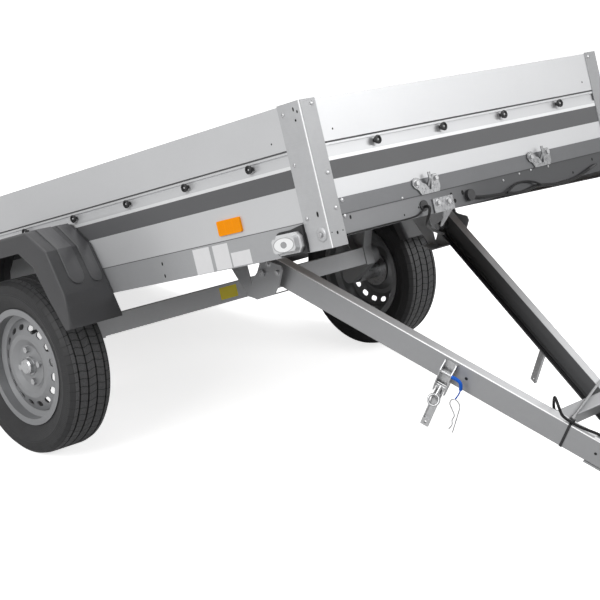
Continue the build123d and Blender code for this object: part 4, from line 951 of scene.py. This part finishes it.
# The mudguards: the same shells with their outer edges rounded, and two raised ribs over each
GUARD_OUT = 0.213
GUARD_FOOT = 0.091
GUARD_RISE = 0.302
GUARD_OUTER = ((0.370, 0.34), (0.331, 0.77), (0.245, 1.0))
GUARD_INNER = (0.300, 0.254, 0.182)
GUARD_HEART_X = 0.741
GUARD_HEART_Z = 0.235
FOLD_ANGLE = 25.0
FOLD_ROUND = 0.0085


def guard_point(side, x, row, foot):
    """A point on a mudguard's shell: x out from the middle, rows from the front foot over to the back one."""
    step = min(row, 5 - row)
    share = (x - WALL_X) / GUARD_OUT
    reaches = [inner + share * (outer - inner) for inner, (outer, _) in zip(GUARD_INNER, GUARD_OUTER)]
    if step:
        ahead, rise = reaches[step], GUARD_OUTER[step][1]
    else:
        rise = (foot - GUARD_FOOT) / GUARD_RISE
        low, high = GUARD_OUTER[0][1], GUARD_OUTER[1][1]
        ahead = reaches[0] + (reaches[1] - reaches[0]) * (rise - low) / (high - low)
    return Vector((side * x, -ahead if row < 3 else ahead, GUARD_FOOT + rise * GUARD_RISE))


def make_guard_rib(side, low_x, high_x, foot):
    """A flat raised rib with round ends, laid over a mudguard from its front slope to its back slope."""
    rib = begin("guard_rib", bpy.ops.mesh.primitive_grid_add, x_subdivisions=1, y_subdivisions=5, size=1.0)
    shifts = []
    for corner in bmesh.from_edit_mesh(rib.data).verts:
        x = high_x if (corner.co.x > 0.0) == (side > 0) else low_x
        row = round((corner.co.y + 0.5) * 5)
        shifts.append(guard_point(side, x, row, foot) - corner.co)
    for index, shift in enumerate(shifts):
        pick_corners(rib, lambda corner: corner.index == index)
        bpy.ops.transform.translate(value=shift)
    pick_corners(rib, lambda corner: corner.co.z < foot + 0.001)
    bpy.ops.mesh.bevel(offset=(high_x - low_x) * 0.47, segments=6, affect="VERTICES")
    bpy.ops.object.mode_set(mode="OBJECT")
    add_modifier(rib, "SOLIDIFY", thickness=0.0055, offset=0.3)
    add_modifier(rib, "BEVEL", width=0.0012, segments=2, limit_method="ANGLE")
    bpy.ops.object.mode_set(mode="EDIT")
    return leave_edit(rib, 40.0)


def make_rounded_guard(side, node_name):
    """A mudguard's own shell with the folds and the outer edge of its outside rounded."""
    guard = nodes[node_name].copy()
    guard.data = nodes[node_name].data.copy()
    bpy.context.collection.objects.link(guard)
    guard.matrix_world = Matrix.Identity(4)
    pick_only(guard)
    bpy.ops.object.mode_set(mode="EDIT")
    bpy.ops.mesh.select_all(action="SELECT")
    bpy.ops.mesh.remove_doubles(threshold=0.00002)
    bpy.ops.mesh.dissolve_limited(angle_limit=math.radians(1.5))
    bpy.ops.mesh.select_mode(type="EDGE")
    bpy.ops.mesh.select_all(action="DESELECT")
    heart = bed_matrix @ Vector((side * GUARD_HEART_X, 0.0, GUARD_HEART_Z))
    mesh = bmesh.from_edit_mesh(guard.data)
    for edge in mesh.edges:
        if len(edge.link_faces) != 2 or edge.calc_face_angle() < math.radians(FOLD_ANGLE):
            continue
        middle = (edge.verts[0].co + edge.verts[1].co) / 2
        outward = [face.normal.dot(face.calc_center_median() - heart) for face in edge.link_faces]
        height = (bed_matrix.inverted() @ middle).z
        edge.select_set(min(outward) > 0.02 and height > GUARD_FOOT + 0.004 and edge.is_convex)
    bmesh.update_edit_mesh(guard.data)
    bpy.ops.mesh.bevel(offset=FOLD_ROUND, segments=4, clamp_overlap=False)
    return leave_edit(guard, 30.0)


for side, side_name in ((-1, "left"), (1, "right")):
    guard = make_rounded_guard(side, f"mudguard_{side_name}")
    settle(guard, f"guard_shell_{side_name}", "bed", "guard")
    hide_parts(f"mudguard_{side_name}")
    for place_name, low_x, high_x, foot in (("inner", 0.655, 0.708, 0.208), ("outer", 0.733, 0.800, 0.214)):
        rib = make_guard_rib(side, low_x, high_x, foot)
        rib_name = f"guard_rib_{side_name}_{place_name}"
        spread(rib, rib_name, "bed", "lit guard rib", bed_matrix, [Matrix.Identity(4)])
        bpy.data.objects.remove(rib)

# Blank stickers on the side member, the axle beam and the left arm
for name, length, height, middle_y, middle_z in (
    ("sticker_rear", 0.073, 0.071, -0.7532, 0.198), ("sticker_middle", 0.066, 0.069, -0.8370, 0.198),
    ("sticker_front", 0.080, 0.038, -0.9160, 0.184),
):
    label = make_label(length, height, 0.0015)
    spread(label, name, "bed", "white label", bed_matrix, [facing((-WALL_X, middle_y, middle_z), (-1.0, 0.0, 0.0))])
    bpy.data.objects.remove(label)
beam_label = make_label(0.075, 0.040, 0.0015)
spread(beam_label, "beam_sticker", "bed", "yellow label", bed_matrix, [facing((-0.068, -0.145, 0.0655), AHEAD)])
arm_label = make_label(0.022, 0.047, 0.001)
arm_turn = Matrix.Rotation(math.radians(ARM_SPLAY), 4, "Z")
arm_label_place = Matrix.Translation(arm_point(-1, 0.944, 0.0185, ARM_TOP)) @ arm_turn
spread(arm_label, "arm_sticker", "drawbar", "white label", drawbar_matrix, [arm_label_place])

# Tie bands
arm_band = make_band(ARM_FLANGE + 0.001, 0.0075, ARM_HEIGHT + 0.001)
band_place = Matrix.Translation(
    arm_point(-1, 0.921, ARM_FLANGE / 2, ARM_TOP - ARM_HEIGHT / 2)
) @ arm_turn
spread(arm_band, "arm_tie_band", "drawbar", "black", drawbar_matrix, [band_place])

# Tyre valves
valve = make_valve()
for side, body in ((-1, "wheel_left"), (1, "wheel_right")):
    spread(
        valve, f"valve_{body}", body, "black", bed_matrix,
        [facing((side * 0.776, -0.099, 0.105), (side * 1.0, 0.12, -0.12))],
    )

for master in (rivet, small_rivet, bolt, dome, knob_face, knob_screw, beam_label, arm_label, arm_band, valve):
    bpy.data.objects.remove(master)


# Floor, light and camera
def floor_finish():
    """A plain pale floor that gives little light back to the underside."""
    finish = Finish("floor", Roughness=0.9, Specular_IOR_Level=0.0, Emission_Strength=1.0)
    path = finish.tree.nodes.new("ShaderNodeLightPath")
    seen = Shade(finish.tree, path.outputs["Is Camera Ray"])
    glossy = Shade(finish.tree, path.outputs["Is Glossy Ray"])
    through = Shade(finish.tree, path.outputs["Is Transmission Ray"])
    pale = (seen + glossy + through).clamp()
    finish.set("Base Color", finish.mix(pale, (0.30, 0.30, 0.30), (0.9, 0.9, 0.9)))
    finish.set("Emission Color", finish.mix(seen, (0.0, 0.0, 0.0), (0.74, 0.74, 0.74)))
    return finish.material


def add_floor():
    """A wide plain floor under the wheels."""
    bpy.ops.mesh.primitive_plane_add(size=60.0, location=(0.0, 0.0, -0.001))
    floor = bpy.context.object
    floor.name = "floor"
    bpy.ops.object.transform_apply(location=True, rotation=True, scale=True)
    floor.data.materials.append(floor_finish())


def add_light(name, place, aim, size, power):
    """A soft square lamp that faces a point."""
    bpy.ops.object.light_add(type="AREA", location=place)
    light = bpy.context.object
    light.name = name
    light.data.shape = "RECTANGLE"
    light.data.size, light.data.size_y = size
    light.data.energy = power
    light.rotation_euler = (Vector(aim) - Vector(place)).to_track_quat("-Z", "Y").to_euler()


def add_world(strength):
    """Even light from all round, white where the camera or a gloss sees it."""
    world = bpy.data.worlds.new("studio")
    world.use_nodes = True
    bpy.context.scene.world = world
    tree = world.node_tree
    backdrop = tree.nodes["Background"]
    path = tree.nodes.new("ShaderNodeLightPath")
    seen = Shade(tree, path.outputs["Is Camera Ray"])
    glossy = Shade(tree, path.outputs["Is Glossy Ray"])
    through = Shade(tree, path.outputs["Is Transmission Ray"])
    pale = (seen + glossy * 0.75 + through).clamp()
    backdrop.inputs["Color"].default_value = (1.0, 1.0, 1.0, 1.0)
    plug(tree, backdrop.inputs["Strength"], pale * (1.0 - strength) + strength)


def add_camera():
    """The camera at the photograph's place."""
    bpy.ops.object.camera_add(location=CAMERA_PLACE)
    camera = bpy.context.object
    camera.name = "camera"
    camera.rotation_euler = (
        math.radians(90.0 - CAMERA_ELEVATION), 0.0, math.radians(CAMERA_AZIMUTH),
    )
    camera.data.sensor_width = SENSOR
    camera.data.lens = CAMERA_LENS
    camera.data.clip_end = 200.0
    bpy.context.scene.camera = camera


bpy.ops.object.select_all(action="DESELECT")
add_floor()
add_world(0.42)
add_light("key", (2.6, -4.6, 3.6), (0.0, -0.5, 0.7), (3.0, 2.2), 125.0)
add_light("left_fill", (-5.0, -0.6, 3.0), (0.0, 0.3, 0.6), (3.0, 2.5), 155.0)
add_light("top", (0.0, 0.6, 5.0), (0.0, 0.4, 0.0), (4.0, 4.0), 110.0)
add_camera()

bpy.context.scene.view_settings.view_transform = "Standard"
